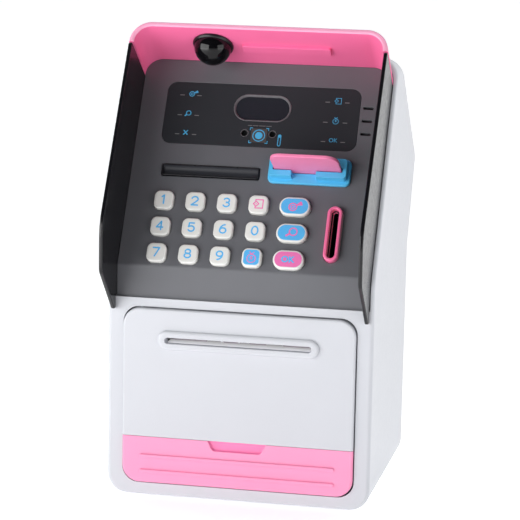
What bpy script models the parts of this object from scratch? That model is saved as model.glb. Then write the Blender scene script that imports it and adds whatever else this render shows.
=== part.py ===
"""Toy cash-machine savings bank, as an assembly of separate parts. Metres, +Z up, the front faces -Y.

The casing is drawn in its own frame: y = 0 is the lower front face, z = 0 the underside of the casing.
The control panel leans back, so its parts are drawn in its own frame: x across, y up the slope, z outward.
The visor over the panel has a third frame: x across, y out along the visor, z down away from its ceiling.
"""

from math import atan2, cos, pi, radians, sin, sqrt, tan

import bmesh
import bpy
from mathutils import Vector

# ---------------------------------------------------------------- driving dimensions
GAP = 0.0003
TINY = 1e-7

WIDTH = 0.140
BASE_DEPTH = 0.114
WALL = 0.0020
FOOT_HEIGHT = 0.0012

LEAN = radians(30)
PANEL_SETBACK = 0.0018
PANEL_BOTTOM = 0.1059
KINK_HEIGHT = 0.1227
PANEL_LENGTH = 0.1170
PANEL_THICKNESS = 0.0020

VISOR_RISE = radians(38)
VISOR_DEPTH = 0.0320
VISOR_THICKNESS = 0.0026
VISOR_ROOT = 0.0040
SPLAY = 0.0007
SPLAY_START = 0.0200
WING_THICKNESS = 0.0020
WING_TOP = 0.1077
WING_FRONT = -0.0270
WING_BEND_HEIGHT = 0.1486
WING_CHAMFER_HEIGHT = 0.1237
WING_TIP_HEIGHT = 0.0997
WING_TIP_REACH = 0.0028

REAR_FLARE_HEIGHT = 0.1218
REAR_PEAK = (0.1356, 0.1673)
TOP_BACK = 0.0720
BOTTOM_CORNER = 0.0108
TOP_CORNER = 0.0105
OPENING_CORNER = 0.0098
FRONT_EDGE = 0.0022
REAR_EDGE = 0.0028
PEAK_RADIUS = 0.0040

DOOR_HALF_WIDTH = 0.0613
DOOR_BOTTOM = 0.0070
DOOR_TOP = 0.1008
DOOR_CORNER = 0.0090
DOORWAY_CORNER = 0.0086
DOOR_GAP = 0.0006
DOOR_PROUD = 0.0020
DOOR_SKIN = 0.0028
DOOR_BACK = 0.0026
DOOR_EDGE = 0.0012
TRIM_TOP = 0.0324
RECESS_BOTTOM = 0.0270
RECESS_HALF = (0.0128, 0.0165)
RIB_HEIGHTS = (0.0219, 0.0137)
RIB_SIZE = (0.1036, 0.0019)
KEEPER_X = (0.0540, 0.0565)
BOLT_X = 0.0657
BOLT_Y = 0.0080
BOLT_HEIGHT = 0.0560
BOLT_LENGTH = 0.0085
BOLT_HALF = 0.0015
HINGE_X = -0.0520
HINGE_Y = 0.0022
PIN_RADIUS = 0.0010
BORE_RADIUS = 0.0013

NOTE_SLOT_HEIGHT = 0.0847
NOTE_SLOT_HALF = 0.0387
NOTE_SLOT_GAP = 0.0030
NOTE_RIM_HALF = 0.0425
NOTE_RIM_HEIGHT = 0.0101
NOTE_RIM_PROUD = 0.0018

ROLLER_RADIUS = 0.0040
SHAFT_RADIUS = 0.0015
ROLLER_Y = 0.0122
DRUMS = ((-0.0137, 0.0084), (0.0020, 0.0040), (0.0176, 0.0084))
GEAR_MODULE = 0.0008
PINION_TEETH = 12
ROLLER_TEETH = 20
GEAR_WIDTH = 0.0030
FEEDER_PLATE_X = 0.0430

KEY_COLUMNS = (-0.0454, -0.02858, -0.01176, 0.00506)
OVAL_COLUMN = 0.0243
KEY_ROWS = (0.03605, 0.02146, 0.00687)
KEY_SIZE = 0.0102
OVAL_SIZE = 0.0162
KEY_CORNER = 0.0031
KEY_PROUD = 0.0026
KEY_TRAVEL = 0.0012
KEY_FLANGE = 0.0010
KEY_NAMES = (
    ("key_1", "key_2", "key_3", "key_exit", "key_account"),
    ("key_4", "key_5", "key_6", "key_0", "key_search"),
    ("key_7", "key_8", "key_9", "key_money", "key_ok"),
)

LENS_HALF_WIDTH = 0.0521
LENS_LOW = 0.0688
LENS_HIGH = 0.1040
LENS_CORNER = 0.0052
WINDOW_CENTRE = (0.0002, 0.0909)
WINDOW_HALF = (0.0154, 0.0076)
WINDOW_RING = 0.0011
SENSOR_X = (-0.0077, 0.0073)
SENSOR_HEIGHT = 0.0764
SENSOR_RADIUS = 0.0023
SENSOR_BORE = 0.0016
SPEAKER_CENTRE = (0.0564, 0.0862)
SPEAKER_SLOT = (0.0054, 0.0015)
SPEAKER_PITCH = 0.0073

RECEIPT_LEFT = -0.0491
RECEIPT_RIGHT = 0.0030
RECEIPT_LOW = 0.0504
RECEIPT_HIGH = 0.0569
RECEIPT_RIM = 0.0017
RECEIPT_LIP = 0.0030
COIN_CENTRE = (0.0458, 0.0222)
COIN_OUTER = (0.0078, 0.0299)
COIN_MOUTH = (0.0050, 0.0273)
COIN_SLOT = (0.0027, 0.0256)
COIN_PROUD = 0.0031
COIN_POCKET = 0.0035

READER_LEFT = 0.0079
READER_RIGHT = 0.0514
READER_LOW = 0.0487
READER_HIGH = 0.0637
READER_BLOCK = (0.0088, 0.0500, 0.0510, 0.0622)
READER_NOTCH = (0.0210, 0.0340)
READER_BASE = 0.0018
READER_RISE = 0.0064
CARD_LEFT = 0.0116
CARD_RIGHT = 0.0473
CARD_HEIGHT = 0.0557
CARD_THICKNESS = 0.0018
CARD_OUT = 0.0237
CARD_IN = 0.0150

DOME_X = -0.0268
DOME_REACH = 0.0163
DOME_DROP = 0.0018
DOME_RADIUS = 0.0098
COLLAR_RADIUS = 0.0108
COLLAR_HEIGHT = 0.0020
SIGN_BAR = (-0.0112, 0.0360, 0.0112, 0.0177)
SIGN_BAR_PROUD = 0.0009

# ---------------------------------------------------------------- dimensions worked out from those
HALF = WIDTH / 2
INNER_HALF = HALF - WALL
WING_OUTER = INNER_HALF - GAP
WING_INNER = WING_OUTER - WING_THICKNESS
PANEL_HALF = WING_INNER - GAP
VISOR_TOP = PANEL_LENGTH + VISOR_THICKNESS
VISOR_CORNER = VISOR_TOP - WING_TOP - GAP
CASING_TOP = KINK_HEIGHT + (VISOR_TOP + GAP) * cos(LEAN) + WALL
PANEL_MEETS_FRONT = KINK_HEIGHT - PANEL_SETBACK / tan(LEAN)
TOP_FRONT = (CASING_TOP - PANEL_MEETS_FRONT) * tan(LEAN)
UPPER_ROLLER_Z = NOTE_SLOT_HEIGHT + ROLLER_RADIUS + GAP / 2
LOWER_ROLLER_Z = NOTE_SLOT_HEIGHT - ROLLER_RADIUS - GAP / 2
PITCH_PINION = GEAR_MODULE * PINION_TEETH / 2
PITCH_ROLLER = GEAR_MODULE * ROLLER_TEETH / 2
MOTOR_RISE = radians(22)
MOTOR_Y = ROLLER_Y + (PITCH_PINION + PITCH_ROLLER) * cos(MOTOR_RISE)
MOTOR_Z = UPPER_ROLLER_Z + (PITCH_PINION + PITCH_ROLLER) * sin(MOTOR_RISE)


# ---------------------------------------------------------------- outlines
def corner_arc(before, corner, after, radius, steps):
    """The points that round one corner of an outline."""
    corner = Vector(corner)
    back = (Vector(before) - corner).normalized()
    ahead = (Vector(after) - corner).normalized()
    half = back.angle(ahead) / 2
    centre = corner + (back + ahead).normalized() * radius / sin(half)
    start = corner + back * radius / tan(half) - centre
    turn = pi - 2 * half
    if back.cross(ahead) > 0:
        turn = -turn
    first = atan2(start.y, start.x)
    angles = [first + turn * step / steps for step in range(steps + 1)]
    return [(centre.x + radius * cos(a), centre.y + radius * sin(a)) for a in angles]


def outline(corners, steps=3):
    """A closed outline through (x, y, radius) corners."""
    points = []
    for index, (x, y, radius) in enumerate(corners):
        before = corners[index - 1][:2]
        after = corners[(index + 1) % len(corners)][:2]
        if radius > 0:
            points += corner_arc(before, (x, y), after, radius, steps)
        else:
            points.append((x, y))
    return points


def box_outline(left, right, low, high, radius=0.0, steps=3):
    corners = ((left, low), (right, low), (right, high), (left, high))
    return outline([(x, y, radius) for x, y in corners], steps)


def centred(width, height, radius, centre=(0.0, 0.0), steps=3):
    x, y = centre
    return box_outline(x - width / 2, x + width / 2, y - height / 2, y + height / 2, radius, steps)


def circle(radius, centre=(0.0, 0.0), count=24):
    angles = [2 * pi * index / count for index in range(count)]
    return [(centre[0] + radius * cos(a), centre[1] + radius * sin(a)) for a in angles]


def inset(corners, distance):
    """Counter-clockwise (x, y, radius) corners moved inward, with their radii kept concentric."""
    moved = []
    for index, (x, y, radius) in enumerate(corners):
        here = Vector((x, y))
        come = (here - Vector(corners[index - 1][:2])).normalized()
        leave = (Vector(corners[(index + 1) % len(corners)][:2]) - here).normalized()
        inward_in = Vector((-come.y, come.x))
        inward_out = Vector((-leave.y, leave.x))
        shifted = here + (inward_in + inward_out) * distance / (1 + inward_in.dot(inward_out))
        change = -distance if come.cross(leave) > 0 else distance
        moved.append((shifted.x, shifted.y, max(radius + change, 0.0)))
    return moved


def xy(points, z):
    return [(x, y, z) for x, y in points]


def xz(points, y):
    return [(x, y, z) for x, z in points]


def yz(points, x):
    return [(x, y, z) for y, z in points]


# ---------------------------------------------------------------- solids
def material(name, red, green, blue, roughness, metallic=0.0):
    """A Principled material; the colour is given as 8-bit sRGB."""
    linear = [((level / 255 + 0.055) / 1.055) ** 2.4 for level in (red, green, blue)]
    made = bpy.data.materials.new(name)
    made.use_nodes = True
    shader = made.node_tree.nodes["Principled BSDF"]
    shader.inputs["Base Color"].default_value = (*linear, 1.0)
    shader.inputs["Roughness"].default_value = roughness
    shader.inputs["Metallic"].default_value = metallic
    return made


def add_object(name, bm, finish, parent, location=(0, 0, 0), rotation=(0, 0, 0)):
    """Closes a bmesh into an object with outward faces."""
    bmesh.ops.remove_doubles(bm, verts=bm.verts, dist=TINY * 10)
    bmesh.ops.recalc_face_normals(bm, faces=bm.faces)
    mesh = bpy.data.meshes.new(name)
    bm.to_mesh(mesh)
    bm.free()
    mesh.shade_smooth()
    mesh.set_sharp_from_angle(angle=radians(35))
    made = bpy.data.objects.new(name, mesh)
    bpy.context.scene.collection.objects.link(made)
    if finish:
        mesh.materials.append(finish)
    else:
        made.hide_render = True
        made.display_type = "WIRE"
    made.parent = parent
    made.location = location
    made.rotation_euler = rotation
    return made


def loft(name, rings, finish, parent, ring_shaped=False, **place):
    """A solid through rings of equally many points; a ring-shaped one joins its last ring to its first."""
    bm = bmesh.new()
    rows = [[bm.verts.new(point) for point in ring] for ring in rings]
    pairs = list(zip(rows, rows[1:]))
    if ring_shaped:
        pairs.append((rows[-1], rows[0]))
    else:
        bm.faces.new(rows[0])
        bm.faces.new(rows[-1])
    for low, high in pairs:
        for index in range(len(low)):
            after = (index + 1) % len(low)
            bm.faces.new((low[index], low[after], high[after], high[index]))
    return add_object(name, bm, finish, parent, **place)


def prism(name, points, low, high, lift, finish, parent, **place):
    """An outline carried straight from one level to another; lift is xy, xz or yz."""
    return loft(name, [lift(points, low), lift(points, high)], finish, parent, **place)


def block(name, low, high, finish, parent, **place):
    points = box_outline(low[0], high[0], low[1], high[1])
    return prism(name, points, low[2], high[2], xy, finish, parent, **place)


def turned(name, profile, finish, parent, count=24, ring_shaped=False, **place):
    """A (radius, height) profile turned about z."""
    rings = [xy(circle(radius, count=count), height) for radius, height in profile]
    return loft(name, rings, finish, parent, ring_shaped=ring_shaped, **place)


def plate(bm, border, holes, low, high):
    """Fills a flat plate that has holes, then gives it its thickness."""
    edges = []
    for points in [border, *holes]:
        verts = [bm.verts.new((x, y, low)) for x, y in points]
        edges += [bm.edges.new((verts[i - 1], verts[i])) for i in range(len(verts))]
    filled = bmesh.ops.triangle_fill(bm, edges=edges, use_beauty=True)
    faces = [item for item in filled["geom"] if isinstance(item, bmesh.types.BMFace)]
    grown = bmesh.ops.extrude_face_region(bm, geom=faces)
    raised = [item for item in grown["geom"] if isinstance(item, bmesh.types.BMVert)]
    bmesh.ops.translate(bm, verts=raised, vec=(0, 0, high - low))


def combine(target, other, operation):
    step = target.modifiers.new(f"{operation.lower()}_{other.name}", "BOOLEAN")
    step.operation = operation
    step.object = other
    step.solver = "EXACT"


def cut(target, *cutters):
    for cutter in cutters:
        combine(target, cutter, "DIFFERENCE")


def join(target, *extras):
    for extra in extras:
        combine(target, extra, "UNION")


def frame(name, parent, location, tilt):
    made = bpy.data.objects.new(name, None)
    bpy.context.scene.collection.objects.link(made)
    made.parent = parent
    made.location = location
    made.rotation_euler = (tilt, 0, 0)
    return made


# ---------------------------------------------------------------- casing
def casing_profile():
    """The casing's side view as (y, z, radius) corners, counter-clockwise from the front foot."""
    return [
        (0.0, 0.0, FRONT_EDGE),
        (BASE_DEPTH, 0.0, REAR_EDGE),
        (BASE_DEPTH, REAR_FLARE_HEIGHT, 0.008),
        (*REAR_PEAK, PEAK_RADIUS),
        (TOP_BACK, CASING_TOP, 0.005),
        (TOP_FRONT, CASING_TOP, 0.0015),
        (0.0, PANEL_MEETS_FRONT, 0.012),
    ]


def depth_at(profile, height):
    """The front and the back of a side view at one height."""
    found = []
    for (y0, z0), (y1, z1) in zip(profile, profile[1:] + profile[:1]):
        if not min(z0, z1) - TINY <= height <= max(z0, z1) + TINY:
            continue
        if abs(z1 - z0) < TINY:
            found += [y0, y1]
        else:
            found.append(y0 + (y1 - y0) * (height - z0) / (z1 - z0))
    return min(found), max(found)


def casing_rings(inward):
    """Level rings of the casing's outside, or of its hollow when moved inward."""
    profile = outline(inset(casing_profile(), inward), 4)
    low = min(z for _, z in profile)
    high = max(z for _, z in profile)
    half = HALF - inward
    foot = BOTTOM_CORNER - inward
    crown = TOP_CORNER - inward
    steps = [radians(18 * step) for step in range(6)]
    heights = {round(z, 6) for _, z in profile}
    heights |= {round(low + foot * (1 - cos(a)), 6) for a in steps}
    heights |= {round(high - crown * (1 - cos(a)), 6) for a in steps}
    levels = [low]
    for height in sorted(heights):
        if height - levels[-1] > 0.0003 and high - height > 0.0003:
            levels.append(height)
    rings = []
    for height in [*levels, high]:
        front, back = depth_at(profile, height)
        narrowing = 0.0
        if height < low + foot:
            narrowing = foot - sqrt(foot**2 - (low + foot - height) ** 2)
        if height > high - crown:
            narrowing = crown - sqrt(max(crown**2 - (height - high + crown) ** 2, 0.0))
        front_edge = min(FRONT_EDGE, (back - front) / 3)
        rear_edge = min(REAR_EDGE, (back - front) / 3)
        side = half - narrowing
        corners = [
            (-side, front, front_edge),
            (side, front, front_edge),
            (side, back, rear_edge),
            (-side, back, rear_edge),
        ]
        rings.append(xy(outline(corners), height))
    return rings


def rear_path(start, stop):
    """Points of the back's outer face, from one height on its foot to one on its top slope."""
    slope_y = REAR_PEAK[0] + (TOP_BACK - REAR_PEAK[0]) * (stop - REAR_PEAK[1]) / (CASING_TOP - REAR_PEAK[1])
    return [(BASE_DEPTH, start), (BASE_DEPTH, REAR_FLARE_HEIGHT), REAR_PEAK, (slope_y, stop)]


def rear_band(start, stop, inner, outer):
    """The side view of a bent plate along the back, from an inner to an outer depth below its face."""
    (y0, z0), (y1, z1), (y2, z2), (y3, z3) = rear_path(start, stop)
    walk = [(y0, z0 - 0.02, 0), (y1, z1, 0.008), (y2, z2, PEAK_RADIUS), (y3 - 0.02, z3 + 0.019, 0), (0, 0.12, 0)]
    deep = inset(walk, inner)[1:3]
    shallow = inset(walk, outer)[1:3]
    slope = (Vector((y3, z3)) - Vector((y2, z2))).normalized()
    inward = Vector((-slope.y, slope.x))
    end = Vector((y3, z3))
    end_deep = end + inward * inner
    end_shallow = end + inward * outer
    corners = [
        (y0 - outer, z0, 0),
        *shallow,
        (end_shallow.x, end_shallow.y, 0),
        (end_deep.x, end_deep.y, 0),
        *reversed(deep),
        (y0 - inner, z0, 0),
    ]
    return outline(corners, 4)


def hinge_boss(name, low, high, casing):
    return block(
        name,
        (HINGE_X - 0.003, WALL - 0.0005, low),
        (HINGE_X + 0.003, HINGE_Y + 0.0026, high),
        None,
        casing,
    )


def hinge_bore(name, low, high, casing):
    place = (HINGE_X, HINGE_Y, 0)
    return prism(name, circle(BORE_RADIUS, count=16), low, high, xy, None, casing, location=place)


def make_main_shell(casing, finish):
    shell = loft("main_shell", casing_rings(0.0), finish, casing)
    hollow = loft("shell_hollow", casing_rings(WALL), None, casing)
    panel_hole = outline(
        [
            (-INNER_HALF, PANEL_BOTTOM, 0),
            (INNER_HALF, PANEL_BOTTOM, 0),
            (INNER_HALF, CASING_TOP - WALL, OPENING_CORNER),
            (-INNER_HALF, CASING_TOP - WALL, OPENING_CORNER),
        ],
        5,
    )
    panel_opening = prism("panel_opening", panel_hole, -0.01, TOP_FRONT + 0.004, xz, None, casing)
    door_hole = box_outline(
        -DOOR_HALF_WIDTH - DOOR_GAP,
        DOOR_HALF_WIDTH + DOOR_GAP,
        DOOR_BOTTOM - DOOR_GAP,
        DOOR_TOP + DOOR_GAP,
        DOORWAY_CORNER,
        6,
    )
    door_opening = prism("door_opening", door_hole, -0.01, 0.01, xz, None, casing)
    rear_hole = rear_band(0.0100, 0.2140, 0.012, -0.012)
    rear_opening = prism("rear_opening", rear_hole, -0.062, 0.062, yz, None, casing)
    base_hole = box_outline(-0.058, 0.058, 0.010, 0.104, 0.004)
    base_opening = prism("base_opening", base_hole, -0.01, 0.01, xy, None, casing)
    upper_boss = hinge_boss("upper_boss", DOOR_TOP + DOOR_GAP, PANEL_BOTTOM - 0.0001, casing)
    lower_boss = hinge_boss("lower_boss", WALL - 0.0005, DOOR_BOTTOM - DOOR_GAP, casing)
    upper_bore = hinge_bore("upper_bore", 0.090, DOOR_TOP + 0.0040, casing)
    lower_bore = hinge_bore("lower_bore", 0.0024, 0.016, casing)
    cut(shell, hollow, panel_opening, rear_opening, base_opening, door_opening)
    join(shell, upper_boss, lower_boss)
    cut(shell, upper_bore, lower_bore)


def make_rear_cover(casing, finish, steel):
    cover_half = 0.062 - GAP
    side = rear_band(0.0100 + GAP, 0.2140 - GAP, WALL, 0.0)
    cover = prism("rear_cover", side, -cover_half, cover_half, yz, finish, casing)
    hatch = box_outline(-0.0298, 0.0298, 0.0232, 0.0768, 0.002)
    cut(cover, prism("hatch_opening", hatch, 0.10, 0.13, xz, None, casing))
    peak = Vector(REAR_PEAK)
    slope = (Vector((TOP_BACK, CASING_TOP)) - peak).normalized()
    upper = peak + slope * 0.056
    lean_back = atan2(slope.x, slope.y)
    spots = ((0.017, BASE_DEPTH, -pi / 2), (upper.y, upper.x, -pi / 2 - lean_back))
    for level, (height, depth, tilt) in zip(("lower", "upper"), spots):
        for side_name, x in (("left", -0.054), ("right", 0.054)):
            make_screw(f"{level}_{side_name}_screw", cover, (x, depth, height), tilt, casing, steel)


def make_screw(name, cover, location, tilt, casing, steel):
    place = {"location": location, "rotation": (tilt, 0, 0)}
    bore = [(0.0016, -0.004), (0.0016, 0.004)]
    cut(cover, turned(f"{name}_bore", bore, None, casing, 12, **place))
    profile = [(0.0012, -0.0080), (0.0012, GAP), (0.0028, GAP), (0.0028, 0.0010), (0.0016, 0.0019)]
    turned(name, profile, steel, casing, 16, **place)


def make_base(casing, white, rubber):
    border = box_outline(-0.058 + GAP, 0.058 - GAP, 0.010 + GAP, 0.104 - GAP, 0.004)
    prism("base_cover", border, 0.0, WALL, xy, white, casing)
    foot = [(0.0050, -FOOT_HEIGHT), (0.0055, -FOOT_HEIGHT + 0.0003), (0.0055, -GAP)]
    for end, y in (("front", 0.022), ("rear", 0.092)):
        for side, x in (("left", -0.046), ("right", 0.046)):
            turned(f"{end}_{side}_foot", foot, rubber, casing, location=(x, y, 0))


def make_partition(casing, finish):
    """The shelf between the cash compartment and the electronics, open for the coin chute."""
    bm = bmesh.new()
    border = box_outline(-INNER_HALF + GAP, INNER_HALF - GAP, 0.0080, 0.1110, REAR_EDGE)
    chute = box_outline(COIN_CENTRE[0] - 0.0040, COIN_CENTRE[0] + 0.0040, 0.0150, 0.0470)
    plate(bm, border, [chute], 0.1065, 0.1080)
    add_object("partition", bm, finish, casing)


# ---------------------------------------------------------------- control panel
def key_outline(width, grow=0.0):
    """The rounded outline of a key cap, wider than high for the oval ones."""
    radius = KEY_CORNER if width == KEY_SIZE else KEY_SIZE / 2 - 0.0002
    return centred(width + grow, KEY_SIZE + grow, radius + grow / 2)


def key_places():
    for row, names in zip(KEY_ROWS, KEY_NAMES):
        for column, name in zip((*KEY_COLUMNS, OVAL_COLUMN), names):
            yield name, (column, row), OVAL_SIZE if column == OVAL_COLUMN else KEY_SIZE


def moved(points, centre):
    return [(x + centre[0], y + centre[1]) for x, y in points]


def stadium(width, height, centre=(0.0, 0.0), steps=5):
    return centred(width, height, min(width, height) / 2, centre, steps)


def panel_holes():
    holes = [moved(key_outline(width, 2 * GAP), centre) for _, centre, width in key_places()]
    clear = 2 * GAP
    holes.append(stadium(COIN_OUTER[0] + clear, COIN_OUTER[1] + clear, COIN_CENTRE))
    holes.append(
        box_outline(
            RECEIPT_LEFT - GAP, RECEIPT_RIGHT + GAP, RECEIPT_LOW - GAP, RECEIPT_HIGH + GAP, 0.001
        )
    )
    holes.append(
        box_outline(
            -LENS_HALF_WIDTH - GAP, LENS_HALF_WIDTH + GAP, LENS_LOW - GAP, LENS_HIGH + GAP, LENS_CORNER + GAP
        )
    )
    pocket = reader_pocket(GAP)
    holes.append(box_outline(*pocket, 0.0008))
    for step in (-1, 0, 1):
        centre = (SPEAKER_CENTRE[0], SPEAKER_CENTRE[1] + step * SPEAKER_PITCH)
        holes.append(centred(*SPEAKER_SLOT, 0.0004, centre, 2))
    return holes


def make_control_panel(slope, finish):
    """The leaning plate with its openings, and the upright strip below its bend."""
    bm = bmesh.new()
    border = outline(
        [
            (-PANEL_HALF, 0, 0),
            (PANEL_HALF, 0, 0),
            (PANEL_HALF, PANEL_LENGTH - GAP, VISOR_CORNER - VISOR_THICKNESS),
            (-PANEL_HALF, PANEL_LENGTH - GAP, VISOR_CORNER - VISOR_THICKNESS),
        ],
        5,
    )
    plate(bm, border, panel_holes(), -PANEL_THICKNESS, 0.0)
    mitre = PANEL_THICKNESS * tan(LEAN / 2)
    bmesh.ops.recalc_face_normals(bm, faces=bm.faces)
    foot = [face for face in bm.faces if all(abs(vert.co.y) < TINY for vert in face.verts)]
    for vert in bm.verts:
        if abs(vert.co.y) < TINY and vert.co.z < -TINY:
            vert.co.y = mitre
    drop = KINK_HEIGHT - PANEL_BOTTOM - GAP
    strip = bmesh.ops.extrude_face_region(bm, geom=foot)
    bmesh.ops.delete(bm, geom=foot, context="FACES_ONLY")
    for item in strip["geom"]:
        if isinstance(item, bmesh.types.BMVert):
            fall = drop - (mitre if item.co.z < -TINY else 0.0)
            item.co += Vector((0, -cos(LEAN), -sin(LEAN))) * fall
    add_object("control_panel", bm, finish, slope)


def make_keys(slope, finish):
    """Each cap stands through the panel on a flange that holds it in."""
    flange_top = -PANEL_THICKNESS - GAP
    for name, centre, width in key_places():
        shapes = [
            (key_outline(width, 0.0012), flange_top - KEY_FLANGE),
            (key_outline(width, 0.0012), flange_top),
            (key_outline(width), flange_top),
            (key_outline(width), KEY_PROUD - 0.0009),
            (key_outline(width, -0.0005), KEY_PROUD - 0.0003),
            (key_outline(width, -0.0014), KEY_PROUD),
        ]
        rings = [xy(points, level) for points, level in shapes]
        loft(name, rings, finish, slope, location=(*centre, 0))


def make_key_electronics(slope, rubber, board, steel, dark):
    top = -PANEL_THICKNESS - GAP - KEY_FLANGE - KEY_TRAVEL - GAP
    mat = box_outline(-0.0530, 0.0340, 0.0010, 0.0440, 0.003)
    prism("key_mat", mat, top - 0.0016, top, xy, rubber, slope)
    sheet = box_outline(-0.0560, 0.0385, 0.0010, 0.0480, 0.001)
    prism("circuit_board", sheet, top - 0.0016 - GAP - 0.0016, top - 0.0016 - GAP, xy, board, slope)
    cone = [
        (0.0090, -0.0033),
        (0.0090, -0.0050),
        (0.0050, -0.0085),
        (0.0050, -0.0110),
        (0.0010, -0.0110),
    ]
    spot = (SPEAKER_CENTRE[0] - 0.0020, SPEAKER_CENTRE[1], 0)
    turned("speaker", cone, steel, slope, location=spot)
    x, y = WINDOW_CENTRE
    block("screen_module", (x - 0.018, y - 0.010, -0.0070), (x + 0.018, y + 0.010, -0.0022), dark, slope)


def make_lens(slope, lens_finish, ring_finish, dark):
    bm = bmesh.new()
    border = box_outline(-LENS_HALF_WIDTH, LENS_HALF_WIDTH, LENS_LOW, LENS_HIGH, LENS_CORNER)
    window = stadium(2 * (WINDOW_HALF[0] + GAP), 2 * (WINDOW_HALF[1] + GAP), WINDOW_CENTRE)
    holes = [window] + [circle(SENSOR_RADIUS + GAP, (x, SENSOR_HEIGHT), 16) for x in SENSOR_X]
    plate(bm, border, holes, -0.0016, 0.0)
    add_object("display_lens", bm, lens_finish, slope)
    outer = stadium(2 * WINDOW_HALF[0], 2 * WINDOW_HALF[1], WINDOW_CENTRE)
    inner = stadium(2 * (WINDOW_HALF[0] - WINDOW_RING), 2 * (WINDOW_HALF[1] - WINDOW_RING), WINDOW_CENTRE)
    rings = [xy(outer, -0.0018), xy(outer, 0.0002), xy(inner, 0.0002), xy(inner, -0.0018)]
    loft("window_bezel", rings, ring_finish, slope, ring_shaped=True)
    cup = [
        (SENSOR_RADIUS, -0.0060),
        (SENSOR_RADIUS, 0.0002),
        (SENSOR_BORE, 0.0002),
        (SENSOR_BORE, -0.0030),
    ]
    for side, x in zip(("left", "right"), SENSOR_X):
        turned(f"{side}_sensor", cup, dark, slope, 16, location=(x, SENSOR_HEIGHT, 0))


def make_receipt_bezel(slope, finish):
    def ring(shrink, level):
        return xy(
            box_outline(
                RECEIPT_LEFT + shrink,
                RECEIPT_RIGHT - shrink,
                RECEIPT_LOW + shrink,
                RECEIPT_HIGH - shrink,
                0.0009,
            ),
            level,
        )

    mouth = box_outline(
        RECEIPT_LEFT + RECEIPT_RIM,
        RECEIPT_RIGHT - RECEIPT_RIM,
        RECEIPT_LOW + RECEIPT_LIP,
        RECEIPT_HIGH - RECEIPT_RIM,
        0.0003,
    )
    rings = [ring(0, -0.0026), ring(0, 0.0004), ring(0.0004, 0.0008), ring(0.0011, 0.0008)]
    rings += [xy(mouth, -0.0002), xy(mouth, -0.0026)]
    loft("receipt_slot_bezel", rings, finish, slope, ring_shaped=True)


def make_coin_path(slope, pink, grey):
    wide, tall = COIN_OUTER
    slot = stadium(*COIN_SLOT, COIN_CENTRE)
    rings = [
        xy(stadium(wide, tall, COIN_CENTRE), -0.0024),
        xy(stadium(wide, tall, COIN_CENTRE), COIN_PROUD - 0.0008),
        xy(stadium(wide - 0.0012, tall - 0.0012, COIN_CENTRE), COIN_PROUD),
        xy(stadium(*COIN_MOUTH, COIN_CENTRE), COIN_PROUD),
        xy(stadium(*COIN_MOUTH, COIN_CENTRE), COIN_PROUD - COIN_POCKET),
        xy(slot, COIN_PROUD - COIN_POCKET),
        xy(slot, -0.0024),
    ]
    loft("coin_slot_bezel", rings, pink, slope, ring_shaped=True)
    chute_rings(slope, grey)


def chute_rings(slope, finish):
    """A flat tube that turns from behind the coin slot down through the partition."""
    x, middle = COIN_CENTRE
    up = Vector((0, cos(LEAN), sin(LEAN)))
    back = Vector((0, sin(LEAN), -cos(LEAN)))

    def casing_point(y, z):
        return up * (z - KINK_HEIGHT) + back * (y - PANEL_SETBACK)

    corners = ((-1, -1), (1, -1), (1, 1), (-1, 1))

    def mouth(level, half, grow):
        return [
            Vector((x + side * (half + grow), middle + end * (0.0140 + grow), level))
            for side, end in corners
        ]

    def lower(height, half, grow):
        depth = {-1: 0.0180 - grow, 1: 0.0440 + grow}
        return [
            casing_point(depth[end], height) + Vector((x + side * (half + grow), 0, 0))
            for side, end in corners
        ]

    skin = 0.0010
    bore = 0.0020
    rings = [
        mouth(-0.0030, bore, skin),
        mouth(-0.0110, bore, skin),
        lower(0.1200, bore, skin),
        lower(0.1030, bore, skin),
        lower(0.1030, bore, 0.0),
        lower(0.1200, bore, 0.0),
        mouth(-0.0110, bore, 0.0),
        mouth(-0.0030, bore, 0.0),
    ]
    loft("coin_chute", rings, finish, slope, ring_shaped=True)


def reader_pocket(grow):
    """Left, right, low and high of the card reader's throat behind the panel."""
    return (
        CARD_LEFT - 0.0016 - grow,
        CARD_RIGHT + 0.0016 + grow,
        CARD_HEIGHT - 0.0024 - grow,
        CARD_HEIGHT + 0.0024 + grow,
    )


def make_card_reader(slope, blue, pink):
    base = box_outline(READER_LEFT, READER_RIGHT, READER_LOW, READER_HIGH, 0.003)
    reader = prism("card_reader", base, GAP, READER_BASE, xy, blue, slope)
    left, right, low, high = READER_BLOCK
    top = box_outline(left, right, low, high, 0.002)
    hump = prism("reader_hump", top, 0.001, READER_RISE, xy, None, slope)
    throat = prism("reader_throat", box_outline(*reader_pocket(0.0)), -0.0170, 0.0010, xy, None, slope)
    slot = block(
        "reader_slot",
        (CARD_LEFT - 0.0005, CARD_HEIGHT - CARD_THICKNESS / 2 - GAP, -0.0160),
        (CARD_RIGHT + 0.0005, CARD_HEIGHT + CARD_THICKNESS / 2 + GAP, 0.02),
        None,
        slope,
    )
    notch = block(
        "reader_notch",
        (READER_NOTCH[0], low - 0.001, READER_BASE + 0.0002),
        (READER_NOTCH[1], CARD_HEIGHT, 0.02),
        None,
        slope,
    )
    join(reader, hump, throat)
    cut(reader, slot, notch)
    shape = outline(
        [
            (CARD_LEFT, -CARD_IN, 0.001),
            (CARD_RIGHT, -CARD_IN, 0.001),
            (CARD_RIGHT, CARD_OUT, 0.0068),
            (CARD_LEFT, CARD_OUT, 0.0060),
        ],
        6,
    )
    half = CARD_THICKNESS / 2
    prism("bank_card", shape, -half, half, xz, pink, slope, location=(0, CARD_HEIGHT, 0))


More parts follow.
